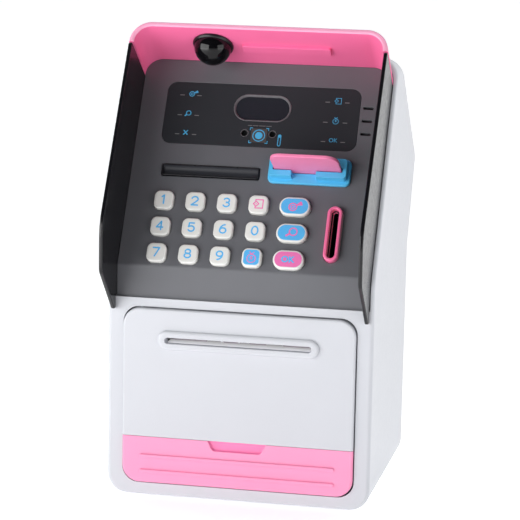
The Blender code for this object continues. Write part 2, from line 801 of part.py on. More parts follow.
# ---------------------------------------------------------------- visor and wings
def visor_ring(outward, shrink=0.0):
    """The visor's arch in the panel's frame, carried outward along its own rise."""
    shift = outward * sin(VISOR_RISE - LEAN)
    level = outward * cos(VISOR_RISE - LEAN)
    outer_half = WING_OUTER - shrink + SPLAY * max(outward, 0) / VISOR_DEPTH
    inner_half = WING_INNER + shrink
    roof = (VISOR_TOP - shrink, VISOR_CORNER - shrink)
    ceiling = (PANEL_LENGTH + shrink, VISOR_CORNER - VISOR_THICKNESS + shrink)
    arch = [
        (outer_half, WING_TOP, 0),
        (outer_half, *roof),
        (-outer_half, *roof),
        (-outer_half, WING_TOP, 0),
        (-inner_half, WING_TOP, 0),
        (-inner_half, *ceiling),
        (inner_half, *ceiling),
        (inner_half, WING_TOP, 0),
    ]
    return [(x, y + shift, level) for x, y in outline(arch, 6)]


def make_visor(slope, ceiling, pink, black, gloss):
    rings = [visor_ring(-VISOR_ROOT), visor_ring(VISOR_DEPTH - 0.0006), visor_ring(VISOR_DEPTH, 0.0005)]
    visor = loft("visor_hood", rings, pink, slope)
    left, right, near, far = SIGN_BAR
    strip = box_outline(left, right, near, far, 0.001)
    bar = prism("sign_bar", strip, -0.001, SIGN_BAR_PROUD, xy, None, ceiling)
    join(visor, bar)
    spot = (DOME_X, DOME_REACH, 0)
    collar = [
        (COLLAR_RADIUS, GAP),
        (COLLAR_RADIUS, COLLAR_HEIGHT - 0.0008),
        (DOME_RADIUS + 2 * GAP, COLLAR_HEIGHT),
        (DOME_RADIUS + GAP, COLLAR_HEIGHT),
        (DOME_RADIUS + GAP, GAP),
    ]
    turned("camera_collar", collar, black, ceiling, 28, ring_shaped=True, location=spot)
    angles = [radians(step) for step in (0, 15, 30, 45, 60, 75, 86)]
    dome = [(DOME_RADIUS, 2 * GAP)]
    dome += [(DOME_RADIUS * cos(a), DOME_DROP + DOME_RADIUS * sin(a)) for a in angles]
    turned("camera_dome", dome, gloss, ceiling, 28, location=spot)


def wing_outline():
    """Side view of a wing: up the visor's edge, down its own front and back along its root."""
    def on_panel(along, outward):
        y = PANEL_SETBACK + along * sin(LEAN) - outward * cos(LEAN)
        return y, KINK_HEIGHT + along * cos(LEAN) + outward * sin(LEAN)

    y, z = on_panel(WING_TOP - GAP, 0)
    rise = (cos(VISOR_RISE), sin(VISOR_RISE))
    root = (y + VISOR_ROOT * rise[0], z - VISOR_ROOT * rise[1])
    tip = (y - VISOR_DEPTH * rise[0], z + VISOR_DEPTH * rise[1])
    return outline(
        [
            (*tip, 0.001),
            (WING_FRONT, WING_BEND_HEIGHT, 0.025),
            (WING_FRONT, WING_CHAMFER_HEIGHT, 0.006),
            (-WING_TIP_REACH, WING_TIP_HEIGHT, 0.0012),
            (-GAP, WING_TIP_HEIGHT, 0),
            (-GAP, PANEL_BOTTOM + GAP, 0),
            (PANEL_SETBACK + VISOR_ROOT, PANEL_BOTTOM + GAP, 0),
            (PANEL_SETBACK + VISOR_ROOT, KINK_HEIGHT - VISOR_ROOT * tan(LEAN / 2), 0),
            (*root, 0),
        ],
        5,
    )


def wing_splay(y, z):
    """How far a wing leans outward at one point of its side view."""
    along = (y - PANEL_SETBACK) * sin(LEAN) + (z - KINK_HEIGHT) * cos(LEAN)
    outward = (z - KINK_HEIGHT) * sin(LEAN) - (y - PANEL_SETBACK) * cos(LEAN)
    rise = min(max((along - SPLAY_START) / (WING_TOP - SPLAY_START), 0), 1)
    return SPLAY * rise * max(outward, 0) / VISOR_DEPTH


def make_wings(casing, gloss):
    shape = wing_outline()
    for name, side in (("left_wing", -1), ("right_wing", 1)):
        rings = [
            [(side * (level + wing_splay(y, z)), y, z) for y, z in shape]
            for level in (WING_INNER, WING_OUTER)
        ]
        loft(name, rings, gloss, casing)


# ---------------------------------------------------------------- door
def make_door(hinge, white, pink, steel):
    """Drawn about the hinge axis, so that the door turns about its own origin."""
    at = {"location": (-HINGE_X, -HINGE_Y, 0)}
    face = box_outline(-DOOR_HALF_WIDTH, DOOR_HALF_WIDTH, DOOR_BOTTOM, DOOR_TOP, DOOR_CORNER, 6)
    soft = box_outline(
        -DOOR_HALF_WIDTH + DOOR_EDGE,
        DOOR_HALF_WIDTH - DOOR_EDGE,
        DOOR_BOTTOM + DOOR_EDGE,
        DOOR_TOP - DOOR_EDGE,
        DOOR_CORNER - DOOR_EDGE,
        6,
    )
    rings = [xz(soft, -DOOR_PROUD), xz(face, -DOOR_PROUD + DOOR_EDGE), xz(face, DOOR_BACK)]
    door = loft("door", rings, white, hinge, **at)
    step_back = DOOR_SKIN - DOOR_PROUD + GAP
    step = block("trim_step", (-0.07, -0.01, 0), (0.07, step_back, TRIM_TOP), None, hinge, **at)
    rim = stadium(2 * NOTE_RIM_HALF, NOTE_RIM_HEIGHT, (0, NOTE_SLOT_HEIGHT))
    rim_bend = stadium(2 * NOTE_RIM_HALF - 0.0010, NOTE_RIM_HEIGHT - 0.0010, (0, NOTE_SLOT_HEIGHT))
    rim_top = stadium(2 * NOTE_RIM_HALF - 0.0028, NOTE_RIM_HEIGHT - 0.0028, (0, NOTE_SLOT_HEIGHT))
    lip_reach = DOOR_PROUD + NOTE_RIM_PROUD
    rings = [xz(rim, 0.0), xz(rim, 0.0011 - lip_reach)]
    rings += [xz(rim_bend, 0.0004 - lip_reach), xz(rim_top, -lip_reach)]
    lip = loft("note_lip", rings, None, hinge, **at)
    slot = stadium(2 * NOTE_SLOT_HALF, NOTE_SLOT_GAP, (0, NOTE_SLOT_HEIGHT), 2)
    mouth = prism("note_mouth", slot, -0.01, 0.01, xz, None, hinge, **at)
    lug_low = (HINGE_X - 0.003, DOOR_BACK - 0.0005, 0)
    lug_high = (HINGE_X + 0.003, HINGE_Y + 0.0026, 0)
    lugs = [
        block(f"{name}_lug", (*lug_low[:2], low), (*lug_high[:2], high), None, hinge, **at)
        for name, low, high in (("upper", 0.0930, DOOR_TOP), ("lower", DOOR_BOTTOM, 0.0140))
    ]
    keeper_low = (KEEPER_X[0], DOOR_BACK - 0.0005, BOLT_HEIGHT - 0.006)
    keeper_high = (KEEPER_X[1], BOLT_Y + 0.004, BOLT_HEIGHT + 0.006)
    keeper = block("keeper", keeper_low, keeper_high, None, hinge, **at)
    window_low = (KEEPER_X[0] - 0.004, BOLT_Y - 0.002, BOLT_HEIGHT - 0.002)
    window_high = (KEEPER_X[1] + 0.004, BOLT_Y + 0.002, BOLT_HEIGHT + 0.002)
    window = block("keeper_window", window_low, window_high, None, hinge, **at)
    bores = [
        prism(f"door_{name}_bore", circle(BORE_RADIUS, count=16), low, high, xy, None, hinge)
        for name, low, high in (("upper", 0.0935, 0.11), ("lower", 0.0, 0.0135))
    ]
    cut(door, step)
    join(door, lip, *lugs, keeper)
    cut(door, mouth, window, *bores)
    make_door_trim(hinge, pink, at, bores[1])
    pin = circle(PIN_RADIUS, count=16)
    prism("upper_hinge_pin", pin, 0.0940, DOOR_TOP + 0.0038, xy, steel, hinge)
    prism("lower_hinge_pin", pin, 0.0026, 0.0130, xy, steel, hinge)


def make_door_trim(hinge, pink, at, bore):
    """The pink lower front, with its finger recess and two ribs."""
    def shape(shrink):
        corner = DOOR_CORNER - shrink
        return outline(
            [
                (-DOOR_HALF_WIDTH + shrink, DOOR_BOTTOM + shrink, corner),
                (DOOR_HALF_WIDTH - shrink, DOOR_BOTTOM + shrink, corner),
                (DOOR_HALF_WIDTH - shrink, TRIM_TOP - GAP, 0),
                (-DOOR_HALF_WIDTH + shrink, TRIM_TOP - GAP, 0),
            ],
            6,
        )

    soft = xz(shape(DOOR_EDGE), -DOOR_PROUD)
    edge = xz(shape(0), -DOOR_PROUD + DOOR_EDGE)
    trim = loft("door_trim", [soft, edge, xz(shape(0), DOOR_SKIN - DOOR_PROUD)], pink, hinge, **at)
    low, high = RECESS_HALF
    recess = outline(
        [
            (-low, RECESS_BOTTOM, 0.0025),
            (low, RECESS_BOTTOM, 0.0025),
            (high, TRIM_TOP + 0.001, 0),
            (-high, TRIM_TOP + 0.001, 0),
        ]
    )
    ribs = []
    for index, height in enumerate(RIB_HEIGHTS):
        bar = stadium(*RIB_SIZE, (0, height), 2)
        ribs.append(prism(f"trim_rib_{index}", bar, -0.0026, -0.0010, xz, None, hinge, **at))
    cut(trim, prism("finger_recess", recess, -0.01, 0.0, xz, None, hinge, **at))
    join(trim, *ribs)
    cut(trim, bore)


# ---------------------------------------------------------------- note feeder, on the back of the door
def along_x(profile, name, finish, parent, centre, count=24, ring_shaped=False):
    """A (radius, x) profile turned about a shaft across the door."""
    rings = [
        [(x, *point) for point in circle(radius, centre, count)] for radius, x in profile
    ]
    return loft(name, rings, finish, parent, ring_shaped=ring_shaped, location=(-HINGE_X, -HINGE_Y, 0))


def make_roller(name, height, reach, finish, hinge):
    """A shaft with its rubber drums."""
    profile = [(SHAFT_RADIUS, -FEEDER_PLATE_X - 0.0030)]
    for middle, width in DRUMS:
        for x in (middle - width / 2, middle + width / 2):
            radii = (SHAFT_RADIUS, ROLLER_RADIUS)
            profile += [(radius, x) for radius in (radii if x < middle else radii[::-1])]
    profile.append((SHAFT_RADIUS, reach))
    along_x(profile, name, finish, hinge, (ROLLER_Y, height))


def gear_outline(teeth, phase):
    """Straight-sided teeth with a little backlash; phase turns the gear by that part of a tooth."""
    pitch = GEAR_MODULE * teeth / 2
    shape = ((pitch - 1.15 * GEAR_MODULE, 0.33), (pitch, 0.225), (pitch + 0.85 * GEAR_MODULE, 0.115))
    points = []
    for tooth in range(teeth):
        for radius, half in (*shape, *((r, -h) for r, h in reversed(shape))):
            angle = 2 * pi * (tooth + phase - half) / teeth
            points.append((radius * cos(angle), radius * sin(angle)))
    return points


def make_gear(name, teeth, phase, centre, bore, finish, hinge):
    bm = bmesh.new()
    plate(bm, gear_outline(teeth, phase), [circle(bore, count=16)], 0.0, GEAR_WIDTH)
    x = FEEDER_PLATE_X + 0.0020 + 0.0010
    place = (x - HINGE_X, centre[0] - HINGE_Y, centre[1])
    add_object(name, bm, finish, hinge, location=place, rotation=(pi / 2, 0, pi / 2))


def make_feeder(hinge, white, rubber, steel, nylon):
    inner = FEEDER_PLATE_X - 0.0010
    outer = FEEDER_PLATE_X + 0.0010
    low, high = 0.0740, 0.0990
    section = outline(
        [
            (-outer, low, 0),
            (outer, low, 0),
            (outer, high, 0),
            (inner, high, 0),
            (inner, low + 0.0015, 0),
            (-inner, low + 0.0015, 0),
            (-inner, high, 0),
            (-outer, high, 0),
        ]
    )
    at = {"location": (-HINGE_X, -HINGE_Y, 0)}
    cradle = prism("feeder_frame", section, DOOR_BACK + GAP, 0.0300, xz, white, hinge, **at)
    for name, y, z, radius in (
        ("feed_bore", ROLLER_Y, UPPER_ROLLER_Z, SHAFT_RADIUS + GAP),
        ("pinch_bore", ROLLER_Y, LOWER_ROLLER_Z, SHAFT_RADIUS + GAP),
        ("motor_bore", MOTOR_Y, MOTOR_Z, 0.0030),
    ):
        cut(cradle, along_x([(radius, -0.05), (radius, 0.05)], name, None, hinge, (y, z), 16))
    make_roller("feed_roller", UPPER_ROLLER_Z, outer + 0.0060, rubber, hinge)
    make_roller("pinch_roller", LOWER_ROLLER_Z, outer + 0.0020, rubber, hinge)
    facing = (MOTOR_RISE / (2 * pi)) * ROLLER_TEETH
    roller_phase = facing - int(facing)
    pinion_phase = ((MOTOR_RISE + pi) / (2 * pi)) * PINION_TEETH + 0.5
    roller_centre = (ROLLER_Y, UPPER_ROLLER_Z)
    shaft_bore = SHAFT_RADIUS + GAP / 3
    make_gear("roller_gear", ROLLER_TEETH, roller_phase, roller_centre, shaft_bore, nylon, hinge)
    make_gear("motor_pinion", PINION_TEETH, pinion_phase, (MOTOR_Y, MOTOR_Z), 0.0013, nylon, hinge)
    body = [
        (0.0030, 0.0170),
        (0.0060, 0.0170),
        (0.0060, inner - GAP),
        (0.0026, inner - GAP),
        (0.0026, outer - 0.0002),
        (0.0010, outer - 0.0002),
        (0.0010, outer + 0.0060),
    ]
    along_x(body, "feed_motor", steel, hinge, (MOTOR_Y, MOTOR_Z), 20)


# ---------------------------------------------------------------- lock and battery compartment
def make_lock(casing, grey, steel):
    """The bolt is drawn back; it runs into the keeper's window to lock the door."""
    low = (0.0600, BOLT_Y - 0.004, BOLT_HEIGHT - 0.010)
    high = (INNER_HALF - GAP, BOLT_Y + 0.016, BOLT_HEIGHT + 0.010)
    case = block("lock_actuator", low, high, grey, casing)
    clear = BOLT_HALF + GAP
    guide_low = (0.0590, BOLT_Y - clear, BOLT_HEIGHT - clear)
    guide_high = (BOLT_X + GAP, BOLT_Y + clear, BOLT_HEIGHT + clear)
    cut(case, block("bolt_guide", guide_low, guide_high, None, casing))
    bolt_low = (-BOLT_LENGTH, -BOLT_HALF, -BOLT_HALF)
    bolt_high = (0, BOLT_HALF, BOLT_HALF)
    place = (BOLT_X, BOLT_Y, BOLT_HEIGHT)
    block("lock_bolt", bolt_low, bolt_high, steel, casing, location=place)


def make_battery_box(casing, grey, white):
    rear = BASE_DEPTH - WALL - GAP
    case = block("battery_box", (-0.0275, 0.0945, 0.0255), (0.0275, rear, 0.0745), grey, casing)
    cells = block("battery_space", (-0.0260, 0.0960, 0.0270), (0.0260, 0.1200, 0.0730), None, casing)
    cut(case, cells)
    lid = box_outline(-0.0295, 0.0295, 0.0235, 0.0765, 0.002)
    cover = prism("battery_cover", lid, BASE_DEPTH - 0.0018, BASE_DEPTH, xz, white, casing)
    grip = centred(0.012, 0.003, 0.001, (0, 0.072))
    cut(cover, prism("cover_grip", grip, BASE_DEPTH - 0.0008, 0.13, xz, None, casing))


def main():
    for leftover in list(bpy.data.objects):
        bpy.data.objects.remove(leftover, do_unlink=True)
    white = material("white_plastic", 232, 235, 245, 0.38)
    cap_white = material("key_white", 240, 240, 238, 0.45)
    grey = material("panel_grey", 118, 119, 124, 0.42)
    pink = material("pink_plastic", 240, 92, 150, 0.40)
    pale_pink = material("pale_pink_plastic", 255, 160, 200, 0.40)
    blue = material("blue_plastic", 92, 190, 232, 0.40)
    gloss = material("black_gloss", 30, 30, 36, 0.12)
    black = material("black_plastic", 36, 36, 40, 0.35)
    lens = material("dark_lens", 64, 64, 70, 0.15)
    rubber = material("rubber", 60, 60, 62, 0.8)
    board = material("board_green", 40, 110, 70, 0.5)
    steel = material("steel", 190, 192, 196, 0.3, 1.0)
    nylon = material("nylon", 235, 230, 215, 0.5)
    inner_grey = material("inner_grey", 170, 172, 176, 0.6)

    rearmost = max(y for y, _ in outline(casing_profile(), 4))
    middle = (rearmost + WING_FRONT) / 2
    casing = frame("casing_frame", None, (0, -middle, FOOT_HEIGHT), 0.0)
    slope = frame("panel_frame", casing, (0, PANEL_SETBACK, KINK_HEIGHT), pi / 2 - LEAN)
    ceiling = frame("visor_frame", slope, (0, PANEL_LENGTH, 0), pi / 2 - VISOR_RISE + LEAN)
    hinge = frame("door_hinge_frame", casing, (HINGE_X, HINGE_Y, 0), 0.0)

    make_main_shell(casing, white)
    make_rear_cover(casing, white, steel)
    make_base(casing, white, rubber)
    make_partition(casing, inner_grey)
    make_control_panel(slope, grey)
    make_keys(slope, cap_white)
    make_key_electronics(slope, rubber, board, steel, black)
    make_lens(slope, lens, inner_grey, black)
    make_receipt_bezel(slope, gloss)
    make_coin_path(slope, pink, inner_grey)
    make_card_reader(slope, blue, pink)
    make_visor(slope, ceiling, pink, black, gloss)
    make_wings(casing, gloss)
    make_door(hinge, white, pale_pink, steel)
    make_feeder(hinge, white, rubber, steel, nylon)
    make_lock(casing, inner_grey, steel)
    make_battery_box(casing, inner_grey, white)


main()
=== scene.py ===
"""Looks of the toy cash-machine savings bank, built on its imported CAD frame.

Metres, +Z up, the front faces -Y. Shapes are drawn in the frames of the CAD parts that they stand for.
CASING has y = 0 at the lower front face and z = 0 at the underside. SLOPE lies on the control panel:
x across, y up the slope, z outward. CEILING lies under the visor: x across, y out along the visor, z down.
"""

from math import atan2, cos, pi, radians, sin, sqrt, tan

import bmesh
import bpy
from mathutils import Matrix, Vector


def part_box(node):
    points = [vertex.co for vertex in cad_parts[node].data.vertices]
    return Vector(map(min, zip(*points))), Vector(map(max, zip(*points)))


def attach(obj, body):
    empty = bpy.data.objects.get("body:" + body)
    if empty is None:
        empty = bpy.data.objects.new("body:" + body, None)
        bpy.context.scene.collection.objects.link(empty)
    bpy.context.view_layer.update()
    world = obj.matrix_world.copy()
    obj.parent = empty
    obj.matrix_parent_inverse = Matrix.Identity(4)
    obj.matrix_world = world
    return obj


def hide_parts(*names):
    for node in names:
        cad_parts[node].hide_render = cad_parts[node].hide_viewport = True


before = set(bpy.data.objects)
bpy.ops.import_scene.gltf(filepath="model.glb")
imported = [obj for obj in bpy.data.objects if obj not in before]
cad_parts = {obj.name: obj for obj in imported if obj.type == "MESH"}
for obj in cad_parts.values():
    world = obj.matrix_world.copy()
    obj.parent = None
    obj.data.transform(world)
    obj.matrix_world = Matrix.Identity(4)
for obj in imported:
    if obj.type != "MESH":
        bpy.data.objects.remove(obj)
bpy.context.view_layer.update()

# ---------------------------------------------------------------- sizes that the CAD boxes don't give
LEAN = radians(30)
RISE = radians(38)
WALL = 0.0020
GAP = 0.0003
SETBACK = 0.0018
PANEL_BOTTOM = 0.1059
KINK = 0.1227
PANEL_LENGTH = 0.1170
PANEL_THICKNESS = 0.0020
WING_TOP = 0.1077
REAR_FLARE = 0.1218
REAR_PEAK = (0.1356, 0.1673)
TOP_BACK = 0.0720
BASE_DEPTH = 0.114
FRONT_EDGE = 0.0022
REAR_EDGE = 0.0028
PEAK_RADIUS = 0.0040
BOTTOM_CORNER = 0.0108
TOP_CORNER = 0.0105
OPENING_CORNER = 0.0098
DOOR_CORNER = 0.0090
DOORWAY_CORNER = 0.0086
LENS_CORNER = 0.0052
VISOR_DEPTH = 0.0320
VISOR_THICKNESS = 0.0026
VISOR_ROOT = 0.0040
SPLAY = 0.0007
SPLAY_START = 0.0200
HAIRLINE = 0.00006
WING_BEND_HEIGHT = 0.1486
WING_CHAMFER_HEIGHT = 0.1237
WING_TIP_HEIGHT = 0.0997
WING_TIP_REACH = 0.0028
REAR_COVER_TOP = 0.2140
KEY_SIZE = 0.0102
SPEAKER_SLOT = (0.0054, 0.0015)
SPEAKER_CENTRE = (0.0564, 0.0862)
SPEAKER_PITCH = 0.0073
COIN_MOUTH = (0.0044, 0.0268)
COIN_SLOT = (0.0027, 0.0256)
COIN_POCKET = 0.0035
READER_BLOCK = (0.0088, 0.0500, 0.0510, 0.0622)
READER_NOTCH = (0.0210, 0.0340)
DOOR_PROUD = 0.0020
TRIM_PROUD = 0.0018
WIDE_DOOR_GAP = 0.0006
NOTE_SLOT_HEIGHT = 0.0847
NOTE_SLOT = (0.0774, 0.0030)
NOTE_RIM = (0.0850, 0.0101)
TRIM_TOP = 0.0324
NOTE_GUIDE_HALF = 0.0378
DRUMS = ((-0.0137, 0.0084), (0.0020, 0.0040), (0.0176, 0.0084))
DRUM_RADIUS = 0.0040
SHAFT_RADIUS = 0.0015

# ---------------------------------------------------------------- frames
shell_low, shell_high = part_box("main_shell")
CASING = Matrix.Translation((0, shell_low.y, shell_low.z))
SLOPE = CASING @ Matrix.Translation((0, SETBACK, KINK)) @ Matrix.Rotation(pi / 2 - LEAN, 4, "X")
CEILING = SLOPE @ Matrix.Translation((0, PANEL_LENGTH, 0)) @ Matrix.Rotation(pi / 2 - RISE + LEAN, 4, "X")

HALF = shell_high.x
CASING_TOP = shell_high.z - shell_low.z
INNER_HALF = HALF - WALL
WING_OUTER = INNER_HALF - GAP
WING_INNER = WING_OUTER - 0.0020
PANEL_HALF = WING_INNER - HAIRLINE
VISOR_TOP = PANEL_LENGTH + VISOR_THICKNESS
VISOR_CORNER = VISOR_TOP - WING_TOP - GAP
PANEL_MEETS_FRONT = KINK - SETBACK / tan(LEAN)
TOP_FRONT = (CASING_TOP - PANEL_MEETS_FRONT) * tan(LEAN)


def span(node, place):
    """Lowest and highest corner of a CAD node, measured in one of the frames above."""
    turn = place.inverted()
    points = [turn @ vert.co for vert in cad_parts[node].data.vertices]
    low = Vector([min(point[axis] for point in points) for axis in range(3)])
    high = Vector([max(point[axis] for point in points) for axis in range(3)])
    return low, high


# ---------------------------------------------------------------- outlines
def corner_arc(before, corner, after, radius, steps):
    corner = Vector(corner)
    back = (Vector(before) - corner).normalized()
    ahead = (Vector(after) - corner).normalized()
    half = back.angle(ahead) / 2
    centre = corner + (back + ahead).normalized() * radius / sin(half)
    start = corner + back * radius / tan(half) - centre
    turn = pi - 2 * half
    if back.cross(ahead) > 0:
        turn = -turn
    first = atan2(start.y, start.x)
    angles = [first + turn * step / steps for step in range(steps + 1)]
    return [(centre.x + radius * cos(a), centre.y + radius * sin(a)) for a in angles]


def outline(corners, steps=8):
    """A closed outline through counter-clockwise (x, y, radius) corners."""
    points = []
    for index, (x, y, radius) in enumerate(corners):
        before = corners[index - 1][:2]
        after = corners[(index + 1) % len(corners)][:2]
        if radius > 0:
            points += corner_arc(before, (x, y), after, radius, steps)
        else:
            points.append((x, y))
    return points


def inset(corners, distance):
    """The corners moved inward, or outward for a negative distance, with their radii kept concentric."""
    moved = []
    for index, (x, y, radius) in enumerate(corners):
        here = Vector((x, y))
        come = (here - Vector(corners[index - 1][:2])).normalized()
        leave = (Vector(corners[(index + 1) % len(corners)][:2]) - here).normalized()
        inward_in = Vector((-come.y, come.x))
        inward_out = Vector((-leave.y, leave.x))
        shifted = here + (inward_in + inward_out) * distance / (1 + inward_in.dot(inward_out))
        change = -distance if come.cross(leave) > 0 else distance
        moved.append((shifted.x, shifted.y, max(radius + change, 0.00002) if radius else 0.0))
    return moved


def box_corners(left, right, low, high, radius):
    return [(left, low, radius), (right, low, radius), (right, high, radius), (left, high, radius)]


def centred(width, height, radius, centre=(0.0, 0.0)):
    x, y = centre
    return box_corners(x - width / 2, x + width / 2, y - height / 2, y + height / 2, radius)


def stadium(width, height, centre=(0.0, 0.0)):
    return centred(width, height, min(width, height) / 2 - 0.00002, centre)


def circle(radius, centre=(0.0, 0.0), count=48):
    angles = [2 * pi * index / count for index in range(count)]
    return [(centre[0] + radius * cos(a), centre[1] + radius * sin(a)) for a in angles]


def xy(points, z):
    return [(x, y, z) for x, y in points]


def xz(points, y):
    return [(x, y, z) for x, z in points]


def yz(points, x):
    return [(x, y, z) for y, z in points]


def fillet(edge, steps=4):
    """(inset, drop) pairs round an outside edge, from the top face to the side."""
    angles = [pi / 2 * step / steps for step in range(steps + 1)]
    return [(edge * (1 - sin(a)), edge * (1 - cos(a))) for a in angles]


# ---------------------------------------------------------------- solids
def add_piece(name, bm, finish, place=None, sharp=32.0):
    """Turns a bmesh into a smooth-shaded object whose broad faces stay flat."""
    bmesh.ops.remove_doubles(bm, verts=bm.verts, dist=5e-7)
    bmesh.ops.recalc_face_normals(bm, faces=bm.faces)
    mesh = bpy.data.meshes.new(name)
    bm.to_mesh(mesh)
    bm.free()
    if place is not None:
        mesh.transform(place)
    mesh.shade_smooth()
    mesh.set_sharp_from_angle(angle=radians(sharp))
    made = bpy.data.objects.new(name, mesh)
    bpy.context.scene.collection.objects.link(made)
    mesh.materials.append(finish)
    weigh(made)
    return made


def weigh(made):
    normals = made.modifiers.new("broad_faces", "WEIGHTED_NORMAL")
    normals.keep_sharp = True
    normals.weight = 100


def bridge(bm, rings, ring_shaped=False):
    rows = [[bm.verts.new(point) for point in ring] for ring in rings]
    pairs = list(zip(rows, rows[1:]))
    if ring_shaped:
        pairs.append((rows[-1], rows[0]))
    for low, high in pairs:
        for index in range(len(low)):
            after = (index + 1) % len(low)
            bm.faces.new((low[index], low[after], high[after], high[index]))
    return rows


def loft(name, rings, finish, place=None, ring_shaped=False, sharp=32.0):
    """A solid through rings of equally many points; a ring-shaped one joins its last to its first."""
    bm = bmesh.new()
    rows = bridge(bm, rings, ring_shaped)
    if not ring_shaped:
        bm.faces.new(rows[0])
        bm.faces.new(rows[-1])
    return add_piece(name, bm, finish, place, sharp)


def slab(name, corners, low, high, finish, place, holes=(), edge=0.0003, lift=xy, both=False, steps=8):
    """A flat plate with rounded edges along its border and its holes; both rounds its two faces."""
    bm = bmesh.new()
    curve = fillet(edge)
    levels = [(shrink, high - drop) for shrink, drop in curve]
    if both:
        levels += [(shrink, low + drop) for shrink, drop in reversed(curve)]
    else:
        levels.append((0.0, low))
    faces = {"top": [], "bottom": []}
    for sign, shape in [(1, corners), *((-1, hole) for hole in holes)]:
        rings = [lift(outline(inset(shape, sign * shrink), steps), level) for shrink, level in levels]
        rows = bridge(bm, rings)
        faces["top"].append(rows[0])
        faces["bottom"].append(rows[-1])
    for loops in faces.values():
        if len(loops) == 1:
            bm.faces.new(loops[0])
            continue
        edges = []
        for row in loops:
            edges += [bm.edges.get((row[i - 1], row[i])) for i in range(len(row))]
        bmesh.ops.triangle_fill(bm, edges=edges, use_beauty=True)
    return add_piece(name, bm, finish, place)


def turned(name, profile, finish, place, count=48, ring_shaped=False, lift=xy, centre=(0, 0), sharp=32.0):
    """A (radius, height) profile turned about an axis."""
    rings = [lift(circle(radius, centre, count), height) for radius, height in profile]
    return loft(name, rings, finish, place, ring_shaped, sharp)


def carve(target, cutters=(), extras=(), late=(), edge=0.0, segments=3, angle=50.0):
    """Cuts, joins and cuts again, rounds what is left sharp, and keeps the result as its own mesh."""
    target.modifiers.clear()
    jobs = [("DIFFERENCE", cutters), ("UNION", extras), ("DIFFERENCE", late)]
    for operation, tools in jobs:
        for tool in tools:
            tool.modifiers.clear()
            step = target.modifiers.new(tool.name, "BOOLEAN")
            step.operation = operation
            step.object = tool
            step.solver = "EXACT"
    if edge:
        soften = target.modifiers.new("soft_edges", "BEVEL")
        soften.width = edge
        soften.segments = segments
        soften.limit_method = "ANGLE"
        soften.angle_limit = radians(angle)
        soften.harden_normals = False
        soften.miter_outer = "MITER_ARC"
    bpy.context.view_layer.update()
    graph = bpy.context.evaluated_depsgraph_get()
    mesh = bpy.data.meshes.new_from_object(target.evaluated_get(graph))
    target.modifiers.clear()
    target.data = mesh
    mesh.shade_smooth()
    mesh.set_sharp_from_angle(angle=radians(32))
    weigh(target)
    for _, tools in jobs:
        for tool in tools:
            bpy.data.objects.remove(tool, do_unlink=True)
    return target


def block(name, low, high, finish, place):
    corners = box_corners(low[0], high[0], low[1], high[1], 0.0)
    return loft(name, [xy(outline(corners), low[2]), xy(outline(corners), high[2])], finish, place)


def shoulder(corners, top, edge, arc_steps, point_steps):
    """Rings that round a border over from its side to its top."""
    curve = reversed(fillet(edge, arc_steps))
    return [xy(outline(inset(corners, shrink), point_steps), top - drop) for shrink, drop in curve]


def prism(name, points, low, high, lift, finish, place):
    return loft(name, [lift(points, low), lift(points, high)], finish, place)


def settle(piece, body, *nodes, slot=None):
    """The piece rides on a body and stands for CAD nodes; the slot argument is not used."""
    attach(piece, body)
    if nodes:
        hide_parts(*nodes)
    return piece


# ---------------------------------------------------------------- materials
def linear(red, green, blue):
    return [((level / 255 + 0.055) / 1.055) ** 2.4 for level in (red, green, blue)]


